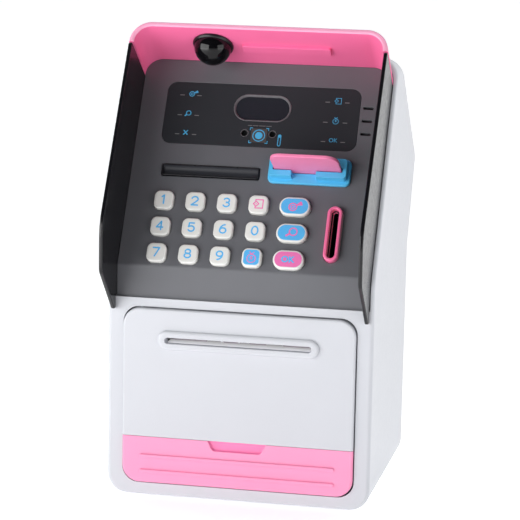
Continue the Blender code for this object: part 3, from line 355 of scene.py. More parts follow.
def plastic(name, colour, roughness, **more):
    """Moulded plastic: faint clouding of the colour, uneven gloss and a fine moulded texture."""
    options = {"cloud": 0.05, "grain": 0.00003, "coat": 0.0, "scatter": 0.0, "metal": 0.0}
    options |= {"ior": 1.48, "glow": 0.0, "specular": 0.5, **more}
    made = bpy.data.materials.new(name)
    made.use_nodes = True
    tree = made.node_tree
    shader = tree.nodes["Principled BSDF"]
    place = tree.nodes.new("ShaderNodeTexCoord")

    def noise(scale, detail, seed):
        node = tree.nodes.new("ShaderNodeTexNoise")
        node.noise_dimensions = "4D"
        node.inputs["W"].default_value = seed
        node.inputs["Scale"].default_value = scale
        node.inputs["Detail"].default_value = detail
        tree.links.new(place.outputs["Object"], node.inputs["Vector"])
        return node

    base = linear(*colour)
    mix = tree.nodes.new("ShaderNodeMix")
    mix.data_type = "RGBA"
    darker = [level * (1 - options["cloud"]) for level in base]
    lighter = [min(level * (1 + options["cloud"] * 0.6), 1.0) for level in base]
    mix.inputs[6].default_value = (*darker, 1.0)
    mix.inputs[7].default_value = (*lighter, 1.0)
    clouds = noise(55.0, 5.0, 1.3)
    tree.links.new(clouds.outputs["Fac"], mix.inputs[0])
    tree.links.new(mix.outputs[2], shader.inputs["Base Color"])

    sheen = noise(420.0, 3.0, 4.1)
    gloss = tree.nodes.new("ShaderNodeMapRange")
    gloss.inputs["From Min"].default_value = 0.3
    gloss.inputs["From Max"].default_value = 0.7
    gloss.inputs["To Min"].default_value = max(roughness - 0.04, 0.02)
    gloss.inputs["To Max"].default_value = roughness + 0.05
    tree.links.new(sheen.outputs["Fac"], gloss.inputs["Value"])
    tree.links.new(gloss.outputs["Result"], shader.inputs["Roughness"])

    texture = noise(2400.0, 2.0, 7.7)
    bump = tree.nodes.new("ShaderNodeBump")
    bump.inputs["Strength"].default_value = 0.35
    bump.inputs["Distance"].default_value = options["grain"]
    tree.links.new(texture.outputs["Fac"], bump.inputs["Height"])
    tree.links.new(bump.outputs["Normal"], shader.inputs["Normal"])

    shader.inputs["Metallic"].default_value = options["metal"]
    shader.inputs["IOR"].default_value = options["ior"]
    shader.inputs["Specular IOR Level"].default_value = options["specular"]
    shader.inputs["Coat Weight"].default_value = options["coat"]
    shader.inputs["Coat Roughness"].default_value = 0.08
    shader.inputs["Emission Color"].default_value = (1.0, 1.0, 1.0, 1.0)
    shader.inputs["Emission Strength"].default_value = options["glow"]
    if options["scatter"]:
        shader.inputs["Subsurface Weight"].default_value = options["scatter"]
        shader.inputs["Subsurface Radius"].default_value = (1.0, 0.6, 0.6)
        shader.inputs["Subsurface Scale"].default_value = 0.0015
    return made


WHITE = plastic("white_body", (207, 209, 215), 0.36, coat=0.1, cloud=0.02)
DOOR_WHITE = plastic("white_door", (206, 208, 214), 0.36, coat=0.1, cloud=0.02)
# bright white with emission: a painted glow that lifts the shaded floor of the note slot
GUIDE_GLOWING_WHITE = plastic("guide_glowing_white", (236, 234, 240), 0.5, cloud=0.02, glow=0.32)
# mid grey for the stops behind the note slot: painted shade in the slot's upper part
GUIDE_PAINTED_SHADE = plastic("guide_painted_shade", (158, 146, 156), 0.6, cloud=0.04)
KEY_WHITE = plastic("key_white", (238, 238, 234), 0.42, cloud=0.02)
GREY = plastic("panel_grey", (105, 106, 111), 0.40, grain=0.00005, cloud=0.06)
PINK = plastic("hood_pink", (254, 118, 168), 0.45, cloud=0.03, specular=0.12)
# lighter pink copy of the hood plastic: a painted highlight on the visor's front rim
PINK_PAINTED_HIGHLIGHT = plastic("hood_rim_painted_highlight", (254, 172, 204), 0.36, cloud=0.03)
TRIM_PINK = plastic("trim_pink", (254, 156, 196), 0.36, coat=0.1, cloud=0.03)
# deeper pink copy of the trim plastic: painted shade inside the finger recess
TRIM_PAINTED_SHADE = plastic("trim_recess_painted_shade", (252, 134, 186), 0.4, cloud=0.03)
# pink with a faint emission: a painted glow on the coin slot bezel
COIN_PINK_GLOWING = plastic("coin_pink_glowing", (254, 108, 162), 0.34, coat=0.1, cloud=0.03, glow=0.03)
CARD_PINK = plastic("card_pink", (250, 138, 182), 0.34, coat=0.1, cloud=0.03)
BLUE = plastic("reader_blue", (88, 194, 242), 0.36, coat=0.1, cloud=0.03)
GLOSS = plastic("black_gloss", (15, 15, 19), 0.22, grain=0.00001, cloud=0.1, ior=1.5)
DOME = plastic("dome_black", (12, 11, 14), 0.05, grain=0.0, cloud=0.1, ior=1.36)
BLACK = plastic("black_satin", (22, 22, 25), 0.32, cloud=0.1)
SLOT_BLACK = plastic("slot_black", (30, 30, 34), 0.3, cloud=0.1, ior=1.36)
# lighter grey copy of the slot's black plastic: a painted highlight on the receipt trough
TROUGH_PAINTED_HIGHLIGHT = plastic("trough_painted_highlight", (58, 59, 65), 0.36, cloud=0.1, specular=0.3)
LENS = plastic("display_smoke", (55, 57, 61), 0.22, grain=0.00001, cloud=0.08, ior=1.3, specular=0.3)
SCREEN = plastic("screen_black", (44, 46, 53), 0.18, grain=0.0, cloud=0.1, ior=1.3)
RING = plastic("ring_grey", (112, 110, 114), 0.3, cloud=0.05)
RUBBER = plastic("rubber", (40, 40, 42), 0.75, grain=0.00008, cloud=0.12)
BOARD = plastic("board_green", (38, 104, 66), 0.45, cloud=0.15)
STEEL = plastic("steel", (186, 188, 192), 0.3, metal=1.0, grain=0.00001, cloud=0.08)
NYLON = plastic("nylon", (236, 232, 218), 0.45, cloud=0.04, scatter=0.2)
INNER = plastic("inner_grey", (176, 178, 182), 0.5, cloud=0.06)
INK_BLUE = plastic("ink_blue", (92, 190, 250), 0.45, grain=0.0, cloud=0.03)
INK_PINK = plastic("ink_pink", (248, 124, 190), 0.45, grain=0.0, cloud=0.03)
INK_SIGN = plastic("ink_sign", (84, 184, 232), 0.35, grain=0.0, cloud=0.05)
INK_BROWN = plastic("ink_brown", (80, 72, 70), 0.4, grain=0.0, cloud=0.1)
INK_DASH = plastic("ink_dash", (120, 120, 122), 0.4, grain=0.0, cloud=0.05)


# ---------------------------------------------------------------- casing
def casing_profile():
    return [
        (0.0, 0.0, FRONT_EDGE),
        (BASE_DEPTH, 0.0, REAR_EDGE),
        (BASE_DEPTH, REAR_FLARE, 0.008),
        (*REAR_PEAK, PEAK_RADIUS),
        (TOP_BACK, CASING_TOP, 0.005),
        (TOP_FRONT, CASING_TOP, 0.0015),
        (0.0, PANEL_MEETS_FRONT, 0.012),
    ]


def depth_at(profile, height):
    """The front and the back of a side view at one height."""
    found = []
    for (y0, z0), (y1, z1) in zip(profile, profile[1:] + profile[:1]):
        if not min(z0, z1) - 1e-7 <= height <= max(z0, z1) + 1e-7:
            continue
        if abs(z1 - z0) < 1e-7:
            found += [y0, y1]
        else:
            found.append(y0 + (y1 - y0) * (height - z0) / (z1 - z0))
    return min(found), max(found)


def casing_rings(inward):
    """Level rings of the casing's outside, or of its hollow when moved inward."""
    profile = outline(inset(casing_profile(), inward), 8)
    low = min(z for _, z in profile)
    high = max(z for _, z in profile)
    foot = BOTTOM_CORNER - inward
    crown = TOP_CORNER - inward
    steps = [radians(9 * step) for step in range(11)]
    heights = {round(z, 6) for _, z in profile}
    heights |= {round(low + foot * (1 - cos(a)), 6) for a in steps}
    heights |= {round(high - crown * (1 - cos(a)), 6) for a in steps}
    levels = [low]
    for height in sorted(heights):
        if height - levels[-1] > 0.00012 and high - height > 0.00012:
            levels.append(height)
    rings = []
    for height in [*levels, high]:
        front, back = depth_at(profile, height)
        narrowing = 0.0
        if height < low + foot:
            narrowing = foot - sqrt(foot**2 - (low + foot - height) ** 2)
        if height > high - crown:
            narrowing = crown - sqrt(max(crown**2 - (height - high + crown) ** 2, 0.0))
        front_edge = min(FRONT_EDGE, (back - front) / 3)
        rear_edge = min(REAR_EDGE, (back - front) / 3)
        side = HALF - inward - narrowing
        corners = [
            (-side, front, front_edge),
            (side, front, front_edge),
            (side, back, rear_edge),
            (-side, back, rear_edge),
        ]
        rings.append(xy(outline(corners, 6), height))
    return rings


def rear_band(start, stop, inner, outer):
    """The side view of a bent plate along the back, between two depths below its face."""
    peak = Vector(REAR_PEAK)
    slope = (Vector((TOP_BACK, CASING_TOP)) - peak).normalized()
    inward = Vector((-slope.y, slope.x))
    end = peak + slope * (stop - peak.y) / slope.y
    walk = [
        (BASE_DEPTH, start - 0.02, 0),
        (BASE_DEPTH, REAR_FLARE, 0.008),
        (*REAR_PEAK, PEAK_RADIUS),
        (*(end + slope * 0.02), 0),
        (0, REAR_FLARE, 0),
    ]
    return outline(
        [
            (BASE_DEPTH - outer, start, 0),
            *inset(walk, outer)[1:3],
            (*(end + inward * outer), 0),
            (*(end + inward * inner), 0),
            *reversed(inset(walk, inner)[1:3]),
            (BASE_DEPTH - inner, start, 0),
        ]
    )


def make_casing():
    door_low, door_high = span("door", CASING)
    shell = loft("casing_shell", casing_rings(0.0), WHITE, CASING)
    hollow = loft("shell_hollow", casing_rings(WALL), WHITE, CASING)
    top = CASING_TOP - WALL
    opening = outline(
        [
            (-INNER_HALF, PANEL_BOTTOM, 0),
            (INNER_HALF, PANEL_BOTTOM, 0),
            (INNER_HALF, top, OPENING_CORNER),
            (-INNER_HALF, top, OPENING_CORNER),
        ],
        10,
    )
    panel_opening = prism("panel_opening", opening, -0.01, TOP_FRONT + 0.004, xz, WHITE, CASING)
    gap = WIDE_DOOR_GAP
    hole = box_corners(
        door_low.x - GAP, door_high.x + gap, door_low.z - GAP, door_high.z + gap, DOORWAY_CORNER
    )
    door_opening = prism("door_opening", outline(hole, 12), -0.01, 0.01, xz, WHITE, CASING)
    rear = rear_band(0.0100, REAR_COVER_TOP, 0.012, -0.012)
    rear_opening = prism("rear_opening", rear, -0.062, 0.062, yz, WHITE, CASING)
    floor = outline(box_corners(-0.058, 0.058, 0.010, 0.104, 0.004))
    base_opening = prism("base_opening", floor, -0.01, 0.01, xy, WHITE, CASING)
    bosses = [
        block("upper_boss", (-0.055, 0.0015, door_high.z + gap), (-0.049, 0.0048, 0.1058), WHITE, CASING),
        block("lower_boss", (-0.055, 0.0015, 0.0015), (-0.049, 0.0048, door_low.z - gap), WHITE, CASING),
    ]
    cutters = (hollow, panel_opening, rear_opening, base_opening, door_opening)
    carve(shell, cutters, bosses, edge=0.00035, segments=2, angle=40.0)
    settle(shell, "casing", "main_shell", slot="white_plastic")


def make_rear_cover():
    low, high = span("rear_cover", CASING)
    side = rear_band(low.z, REAR_COVER_TOP - GAP, WALL, 0.0)
    cover = prism("rear_panel", side, low.x, high.x, yz, WHITE, CASING)
    hatch_low, hatch_high = span("battery_cover", CASING)
    border = box_corners(
        hatch_low.x - GAP, hatch_high.x + GAP, hatch_low.z - GAP, hatch_high.z + GAP, 0.002
    )
    hatch = prism("hatch_opening", outline(border), 0.10, 0.13, xz, WHITE, CASING)
    carve(cover, [hatch], edge=0.0004, segments=3, angle=60.0)
    settle(cover, "casing", "rear_cover", slot="white_plastic")

    lid = slab(
        "battery_lid",
        box_corners(hatch_low.x, hatch_high.x, hatch_low.z, hatch_high.z, 0.002),
        -hatch_high.y,
        -hatch_low.y,
        WHITE,
        CASING @ Matrix.Scale(-1, 4, (0, 1, 0)),
        edge=0.0003,
        lift=xz,
        both=True,
    )
    grip = []
    for index in range(4):
        low_corner = (-0.009, 0.1132, 0.066 + 0.0022 * index)
        high_corner = (0.009, 0.12, 0.0672 + 0.0022 * index)
        grip.append(block(f"lid_groove_{index}", low_corner, high_corner, WHITE, CASING))
    carve(lid, grip, edge=0.00015, segments=2, angle=60.0)
    settle(lid, "battery_cover", "battery_cover", slot="white_plastic")


# ---------------------------------------------------------------- visor and wings
def visor_station(rim_inset, outward):
    """Points of the visor's arch at one depth in its wall, from its right foot over to its left foot."""
    depth = rim_inset / VISOR_THICKNESS
    splay = SPLAY * max(outward, 0) / VISOR_DEPTH
    half = WING_OUTER + splay * (1 - depth) - (WING_OUTER - WING_INNER) * depth
    arch = [
        (half, WING_TOP, 0),
        (half, VISOR_TOP - rim_inset, VISOR_CORNER - rim_inset),
        (-half, VISOR_TOP - rim_inset, VISOR_CORNER - rim_inset),
        (-half, WING_TOP, 0),
    ]
    return outline(arch, 14)


def make_visor():
    """The wall's section, with its rounded rim, swept along the arch."""
    curve = fillet(0.0010, 5)
    section = [(0.0, -VISOR_ROOT)]
    section += [(shrink, VISOR_DEPTH - drop) for shrink, drop in reversed(curve)]
    section += [(VISOR_THICKNESS - shrink, VISOR_DEPTH - drop) for shrink, drop in curve]
    section.append((VISOR_THICKNESS, -VISOR_ROOT))
    lines = []
    for shrink, outward in section:
        shift = outward * sin(RISE - LEAN)
        level = outward * cos(RISE - LEAN)
        lines.append([(x, y + shift, level) for x, y in visor_station(shrink, outward)])
    bm = bmesh.new()
    rows = [[bm.verts.new(point) for point in line] for line in lines]
    count = len(rows[0])
    for first, second in zip(rows, [*rows[1:], rows[0]]):
        for index in range(count - 1):
            bm.faces.new((first[index], first[index + 1], second[index + 1], second[index]))
    bm.faces.new([row[0] for row in rows])
    bm.faces.new([row[-1] for row in rows])
    visor = add_piece("visor", bm, PINK, SLOPE)
    visor.data.materials.append(PINK_PAINTED_HIGHLIGHT)
    # faces near the visor's front rim take the lighter pink copy: a painted highlight
    painted_highlight_level = (VISOR_DEPTH - 0.0007) * cos(RISE - LEAN)
    for face in visor.data.polygons:
        face.material_index = int((SLOPE.inverted() @ face.center).z > painted_highlight_level)
    settle(visor, "casing", "visor_hood", slot="pink_plastic")

    border = box_corners(-0.0112, 0.0360, 0.0112, 0.0177, 0.0012)
    bar = slab("sign_bar", border, -0.0005, 0.0017, PINK, CEILING, edge=0.0005)
    settle(bar, "casing", slot="pink_plastic")


def wing_corners():
    """Side view of a wing in the casing's frame."""
    along = WING_TOP - GAP
    y = SETBACK + along * sin(LEAN)
    z = KINK + along * cos(LEAN)
    rise = (cos(RISE), sin(RISE))
    root = (y + VISOR_ROOT * rise[0], z - VISOR_ROOT * rise[1])
    tip = (y - VISOR_DEPTH * rise[0], z + VISOR_DEPTH * rise[1])
    front = span("left_wing", CASING)[0].y
    return [
        (*tip, 0.0012),
        (front, WING_BEND_HEIGHT, 0.025),
        (front, WING_CHAMFER_HEIGHT, 0.006),
        (-WING_TIP_REACH, WING_TIP_HEIGHT, 0.0012),
        (-GAP, WING_TIP_HEIGHT, 0.0001),
        (-GAP, PANEL_BOTTOM + GAP, 0.0001),
        (SETBACK + VISOR_ROOT, PANEL_BOTTOM + GAP, 0.0001),
        (SETBACK + VISOR_ROOT, KINK - VISOR_ROOT * tan(LEAN / 2), 0.0001),
        (*root, 0.0001),
    ]


def wing_splay(point):
    """How far a wing leans outward at one of its points."""
    local = SLOPE.inverted() @ point
    rise = min(max((local.y - SPLAY_START) / (WING_TOP - SPLAY_START), 0), 1)
    return SPLAY * rise * max(local.z, 0) / VISOR_DEPTH


def make_wings():
    for node, side in (("left_wing", -1), ("right_wing", 1)):
        low, high = sorted((side * WING_INNER, side * WING_OUTER))
        name = node.replace("wing", "side_wing")
        shape = wing_corners()
        wing = slab(name, shape, low, high, GLOSS, CASING, edge=0.0006, lift=yz, both=True, steps=10)
        for vert in wing.data.vertices:
            vert.co.x += side * wing_splay(vert.co)
        settle(wing, "casing", node, slot="black_gloss_plastic")


# ---------------------------------------------------------------- control panel
def key_shape(node):
    low, high = span(node, SLOPE)
    return (low.x + high.x) / 2, (low.y + high.y) / 2, high.x - low.x - 0.0012, high.z


def key_corners(width, grow=0.0):
    radius = 0.0031 if width < 0.012 else KEY_SIZE / 2 - 0.0002
    return centred(width + grow, KEY_SIZE + grow, radius + grow / 2)


def moved(corners, centre):
    return [(x + centre[0], y + centre[1], radius) for x, y, radius in corners]


KEYS = [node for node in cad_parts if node.startswith("key_") and node != "key_mat"]


def panel_holes():
    holes = []
    for node in KEYS:
        x, y, width, _ = key_shape(node)
        holes.append(moved(key_corners(width, 2 * GAP), (x, y)))
    low, high = span("coin_slot_bezel", SLOPE)
    centre = ((low.x + high.x) / 2, (low.y + high.y) / 2)
    holes.append(stadium(high.x - low.x + 2 * GAP, high.y - low.y + 2 * GAP, centre))
    for node, radius in (("receipt_slot_bezel", 0.001), ("display_lens", LENS_CORNER)):
        low, high = span(node, SLOPE)
        gap = GAP if node == "receipt_slot_bezel" else HAIRLINE
        holes.append(box_corners(low.x - gap, high.x + gap, low.y - gap, high.y + gap, radius))
    low, high = span("bank_card", SLOPE)
    holes.append(box_corners(low.x - 0.0019, high.x + 0.0019, low.y - 0.0017, high.y + 0.0017, 0.0008))
    x, y = SPEAKER_CENTRE
    for step in (-1, 0, 1):
        holes.append(centred(*SPEAKER_SLOT, 0.0005, (x, y + SPEAKER_PITCH * step)))
    return holes


def make_panel():
    """The leaning plate with soft-edged openings; its lower end bends down into an upright strip."""
    bm = bmesh.new()
    edge = 0.0002
    tops = []
    bottoms = []
    for hole in panel_holes():
        rings = [xy(outline(inset(hole, -shrink), 8), -drop) for shrink, drop in fillet(edge, 3)]
        rings.append(xy(outline(hole, 8), -PANEL_THICKNESS))
        rows = bridge(bm, rings)
        tops.append(rows[0])
        bottoms.append(rows[-1])
    bend = 0.0035
    crown = VISOR_CORNER - VISOR_THICKNESS

    def border(low, level):
        points = outline(
            [
                (-PANEL_HALF, low, 0),
                (PANEL_HALF, low, 0),
                (PANEL_HALF, PANEL_LENGTH - GAP, crown),
                (-PANEL_HALF, PANEL_LENGTH - GAP, crown),
            ],
            10,
        )
        return [bm.verts.new(point) for point in xy(points, level)]

    start = bend * tan(LEAN / 2)
    top_row = border(start, 0.0)
    bottom_row = border(start, -PANEL_THICKNESS)
    for index in range(1, len(top_row)):
        after = (index + 1) % len(top_row)
        bm.faces.new((top_row[index], top_row[after], bottom_row[after], bottom_row[index]))
    for loops in ([top_row, *tops], [bottom_row, *bottoms]):
        edges = []
        for row in loops:
            for index in range(len(row)):
                found = bm.edges.get((row[index - 1], row[index]))
                edges.append(found or bm.edges.new((row[index - 1], row[index])))
        bmesh.ops.triangle_fill(bm, edges=edges, use_beauty=True)

    front = [top_row[0], top_row[1]]
    back = [bottom_row[0], bottom_row[1]]
    centre = Vector((0, start, -bend))
    path = []
    for step in range(1, 7):
        angle = LEAN * step / 6
        outward = Vector((0, -sin(angle), cos(angle)))
        path.append((centre + outward * bend, centre + outward * (bend - PANEL_THICKNESS)))
    down = Vector((0, -cos(LEAN), -sin(LEAN)))
    drop = KINK - PANEL_BOTTOM - HAIRLINE - start
    path.append((path[-1][0] + down * drop, path[-1][1] + down * drop))
    for outer, inner in path:
        next_front = [bm.verts.new((side * PANEL_HALF, outer.y, outer.z)) for side in (-1, 1)]
        next_back = [bm.verts.new((side * PANEL_HALF, inner.y, inner.z)) for side in (-1, 1)]
        bm.faces.new((front[0], front[1], next_front[1], next_front[0]))
        bm.faces.new((back[0], back[1], next_back[1], next_back[0]))
        bm.faces.new((front[0], next_front[0], next_back[0], back[0]))
        bm.faces.new((front[1], next_front[1], next_back[1], back[1]))
        front, back = next_front, next_back
    bm.faces.new((front[0], front[1], back[1], back[0]))
    panel = add_piece("keypad_panel", bm, GREY, SLOPE)
    settle(panel, "casing", "control_panel", slot="grey_panel_plastic")


# ---------------------------------------------------------------- printed marks
PRINT = 0.00003


class Marks:
    """Flat printed shapes that are gathered into one thin mesh."""

    def __init__(self, level):
        self.bm = bmesh.new()
        self.level = level
        self.count = 0

    def shape(self, outer, inner=None):
        low = self.level
        high = self.level + PRINT + self.count * 1e-6
        self.count += 1
        if inner:
            bridge(self.bm, [xy(outer, low), xy(outer, high), xy(inner, high), xy(inner, low)], True)
            return
        rows = bridge(self.bm, [xy(outer, low), xy(outer, high)])
        self.bm.faces.new(rows[0])
        self.bm.faces.new(rows[-1])

    def ring(self, centre, radius, stroke):
        self.shape(circle(radius, centre, 40), circle(radius - stroke, centre, 40))

    def disc(self, centre, radius):
        self.shape(circle(radius, centre, 32))

    def line(self, start, end, width):
        """A straight stroke with round ends."""
        start, end = Vector(start), Vector(end)
        along = (end - start).normalized()
        turn = atan2(along.y, along.x)
        points = []
        for centre, first in ((end, turn - pi / 2), (start, turn + pi / 2)):
            for step in range(9):
                angle = first + pi * step / 8
                points.append((centre.x + width / 2 * cos(angle), centre.y + width / 2 * sin(angle)))
        self.shape(points)

    def path(self, points, width):
        for start, end in zip(points, points[1:]):
            self.line(start, end, width)

    def text(self, body, centre, height, weight=0.0):
        """Generic letters or digits of a given height, centred on a point."""
        letters = bpy.data.curves.new("letters", "FONT")
        letters.body = body
        letters.align_x = "CENTER"
        letters.size = 1.0
        letters.offset = weight
        letters.resolution_u = 6
        holder = bpy.data.objects.new("letters", letters)
        bpy.context.scene.collection.objects.link(holder)
        bpy.context.view_layer.update()
        graph = bpy.context.evaluated_depsgraph_get()
        mesh = bpy.data.meshes.new_from_object(holder.evaluated_get(graph))
        points = [vert.co for vert in mesh.vertices]
        low = Vector([min(point[axis] for point in points) for axis in (0, 1)])
        high = Vector([max(point[axis] for point in points) for axis in (0, 1)])
        scale = height / (high.y - low.y)
        middle = (low + high) / 2
        shift = Matrix.Translation((centre[0], centre[1], self.level + PRINT + 4e-6))
        mesh.transform(shift @ Matrix.Scale(scale, 4) @ Matrix.Translation((-middle.x, -middle.y, 0)))
        self.bm.from_mesh(mesh)
        bpy.data.objects.remove(holder, do_unlink=True)

    def digit(self, sign, half, tall, width):
        """A digit of round-ended strokes, within half its width and half its height."""

        def arc(x, y, across, up, start, end):
            angles = [radians(start + (end - start) * step / 12) for step in range(13)]
            return [((x + across * cos(a)) * half, (y + up * sin(a)) * tall) for a in angles]

        def line(*points):
            return [(x * half, y * tall) for x, y in points]

        strokes = {
            "0": [arc(0, 0, 1, 1, 90, 450)],
            "1": [line((-0.55, 0.6), (0.15, 1), (0.15, -1))],
            "2": [arc(0, 0.42, 1, 0.58, 165, -35) + line((-1, -1), (1, -1))],
            "3": [arc(0, 0.48, 0.9, 0.52, 150, -90), arc(0, -0.46, 1, 0.54, 90, -155)],
            "4": [line((0.45, -1), (0.45, 1), (-1, -0.4), (1, -0.4))],
            "5": [line((0.85, 1), (-0.7, 1), (-0.85, 0.08)) + arc(0, -0.36, 1, 0.64, 125, -150)],
            "6": [arc(0, -0.38, 1, 0.62, 0, 360), arc(0.7, -0.38, 1.7, 1.38, 95, 180)],
            "7": [line((-1, 1), (1, 1), (-0.35, -1))],
            "8": [arc(0, 0.5, 0.84, 0.5, 0, 360), arc(0, -0.46, 1, 0.54, 0, 360)],
            "9": [arc(0, 0.38, 1, 0.62, 0, 360), arc(-0.7, 0.38, 1.7, 1.38, -85, 0)],
        }
        for stroke in strokes[sign]:
            self.path(stroke, width)

    def place(self, name, finish, place, body, slot):
        mesh = bpy.data.meshes.new(name)
        self.bm.to_mesh(mesh)
        self.bm.free()
        mesh.transform(place)
        made = bpy.data.objects.new(name, mesh)
        bpy.context.scene.collection.objects.link(made)
        mesh.materials.append(finish)
        return settle(made, body, slot=slot)


def draw_key_sign(marks, x, y, size=1.0):
    """A key: a ring with an eye, and a shaft with two teeth up to the right."""
    marks.ring((x, y), 0.0021 * size, 0.00055 * size)
    marks.ring((x, y), 0.0010 * size, 0.00045 * size)
    strokes = (
        ((0.0017, 0.0009), (0.0037, 0.0019), 0.0010),
        ((0.0028, 0.0020), (0.0033, 0.0011), 0.0007),
        ((0.0036, 0.0024), (0.0041, 0.0014), 0.0009),
    )
    for start, end, width in strokes:
        ends = [(x + across * size, y + up * size) for across, up in (start, end)]
        marks.line(*ends, width * size)


def draw_lens_sign(marks, x, y, radius, reach, stroke):
    """A magnifying glass with its handle down to the left."""
    marks.ring((x, y), radius, stroke)
    length = sqrt(reach[0] ** 2 + reach[1] ** 2)
    start = (x + reach[0] / length * radius * 0.95, y + reach[1] / length * radius * 0.95)
    marks.line(start, (x + reach[0], y + reach[1]), stroke * 1.5)


def draw_exit_sign(marks, x, y, half, stroke):
    """A frame that is open on the left, with a diamond in the opening."""
    left = x - half * 0.72
    right = x + half
    marks.path(
        [
            (left, y + half * 0.62),
            (left, y + half),
            (right, y + half),
            (right, y - half),
            (left, y - half),
            (left, y - half * 0.62),
        ],
        stroke,
    )
    tip = half * 0.62
    centre = left + tip * 0.25
    marks.path(
        [(centre - tip, y), (centre, y + tip), (centre + tip, y), (centre, y - tip), (centre - tip, y)],
        stroke,
    )
    marks.disc((centre, y), stroke * 0.55)


def draw_bag_sign(marks, x, y, half, stroke):
    """A round money bag with its tied neck."""
    marks.ring((x, y - half * 0.22), half * 0.84, stroke)
    rim = y + half * 0.95
    marks.path([(x - half * 0.4, rim), (x, y + half * 0.6), (x + half * 0.4, rim)], stroke)
    marks.text("$", (x, y - half * 0.22), half * 0.9, 0.02)


def make_keys():
    cap_edge = 0.0010
    for node in KEYS:
        x, y, width, top = key_shape(node)
        shape = key_corners(width)
        flange = outline(inset(shape, -0.0005), 8)
        rings = [xy(flange, -0.0033), xy(flange, -0.0024), xy(outline(shape, 8), -0.0024)]
        for shrink, drop in reversed(fillet(cap_edge, 6)):
            rings.append(xy(outline(inset(shape, shrink), 8), top - drop * 0.9))
        place = SLOPE @ Matrix.Translation((x, y, 0))
        cap = loft(node.replace("key_", "cap_"), rings, KEY_WHITE, place)
        settle(cap, node, node, slot="key_plastic")
        print_key(node, width, top, place)


def print_key(node, width, top, place):
    sign = node.removeprefix("key_")
    marks = Marks(top)
    if sign.isdigit():
        marks.digit(sign, 0.00164, 0.00230, 0.00080)
        marks.place(f"digit_{sign}", INK_BLUE, place, node, "key_plastic")
        return
    if sign != "exit":
        ground = Marks(top)
        ground.shape(outline(inset(key_corners(width), 0.0010), 10))
        finish = INK_PINK if sign == "ok" else INK_BLUE
        ground.place(f"ground_{sign}", finish, place, node, "key_plastic")
        marks.level = top + PRINT
    if sign == "exit":
        draw_exit_sign(marks, 0.0002, 0.0002, 0.0023, 0.00055)
    elif sign == "account":
        draw_key_sign(marks, -0.0009, -0.0005, 1.1)
    elif sign == "search":
        draw_lens_sign(marks, 0.0009, 0.0005, 0.00235, (-0.0034, -0.0022), 0.00068)
    elif sign == "money":
        draw_bag_sign(marks, 0.0, 0.0, 0.0029, 0.00042)
    else:
        marks.text("OK", (0, 0), 0.0036, 0.04)
    finish = INK_BLUE if sign == "ok" else INK_PINK
    marks.place(f"sign_{sign}", finish, place, node, "key_plastic")


def make_display():
    low, high = span("display_lens", SLOPE)
    window_low, window_high = span("window_bezel", SLOPE)
    window_centre = ((window_low.x + window_high.x) / 2, (window_low.y + window_high.y) / 2)
    window_size = (window_high.x - window_low.x, window_high.y - window_low.y)
    sensors = []
    for node in ("left_sensor", "right_sensor"):
        sensor_low, sensor_high = span(node, SLOPE)
        sensors.append((node, (sensor_low.x + sensor_high.x) / 2, (sensor_low.y + sensor_high.y) / 2))
    holes = [stadium(window_size[0] + HAIRLINE, window_size[1] + HAIRLINE, window_centre)]
    holes += [centred(0.0043, 0.0043, 0.00213, (x, y)) for _, x, y in sensors]
    border = box_corners(low.x, high.x, low.y, high.y, LENS_CORNER)
    lens = slab("smoked_lens", border, -0.0016, 0.0, LENS, SLOPE, holes, edge=0.0002, steps=12)
    settle(lens, "casing", "display_lens", slot="dark_lens_plastic")

    outer = stadium(*window_size, window_centre)
    profile = [(0.0, -0.0018), (0.0, 0.0), (0.00012, 0.00014), (0.0003, 0.00018)]
    profile += [(0.0005, 0.0001), (0.0011, -0.0007), (0.0012, -0.0018)]
    rings = [xy(outline(inset(outer, shrink), 16), level) for shrink, level in profile]
    ring = loft("window_ring", rings, RING, SLOPE, ring_shaped=True, sharp=60.0)
    settle(ring, "casing", "window_bezel", slot="inner_grey_plastic")
    inner = inset(outer, 0.0009)
    screen = slab("screen_glass", inner, -0.0024, -0.0009, SCREEN, SLOPE, edge=0.0001, steps=16)
    settle(screen, "casing", "screen_module", slot="black_plastic")

    for node, x, y in sensors:
        profile = [(0.0021, -0.0018), (0.0021, 0.0), (0.00207, 0.0001), (0.0019, 0.00014)]
        profile += [(0.0018, 0.0001), (0.00175, -0.0001), (0.00175, -0.0030), (0.00001, -0.0032)]
        name = node.replace("sensor", "sensor_eye")
        eye = turned(name, profile, RING, SLOPE, centre=(x, y), sharp=50.0)
        eye.data.materials.append(BLACK)
        for face in eye.data.polygons:
            local = SLOPE.inverted() @ face.center
            face.material_index = int(local.z < -0.0002)
        settle(eye, "casing", node, slot="black_plastic")
    make_display_signs()


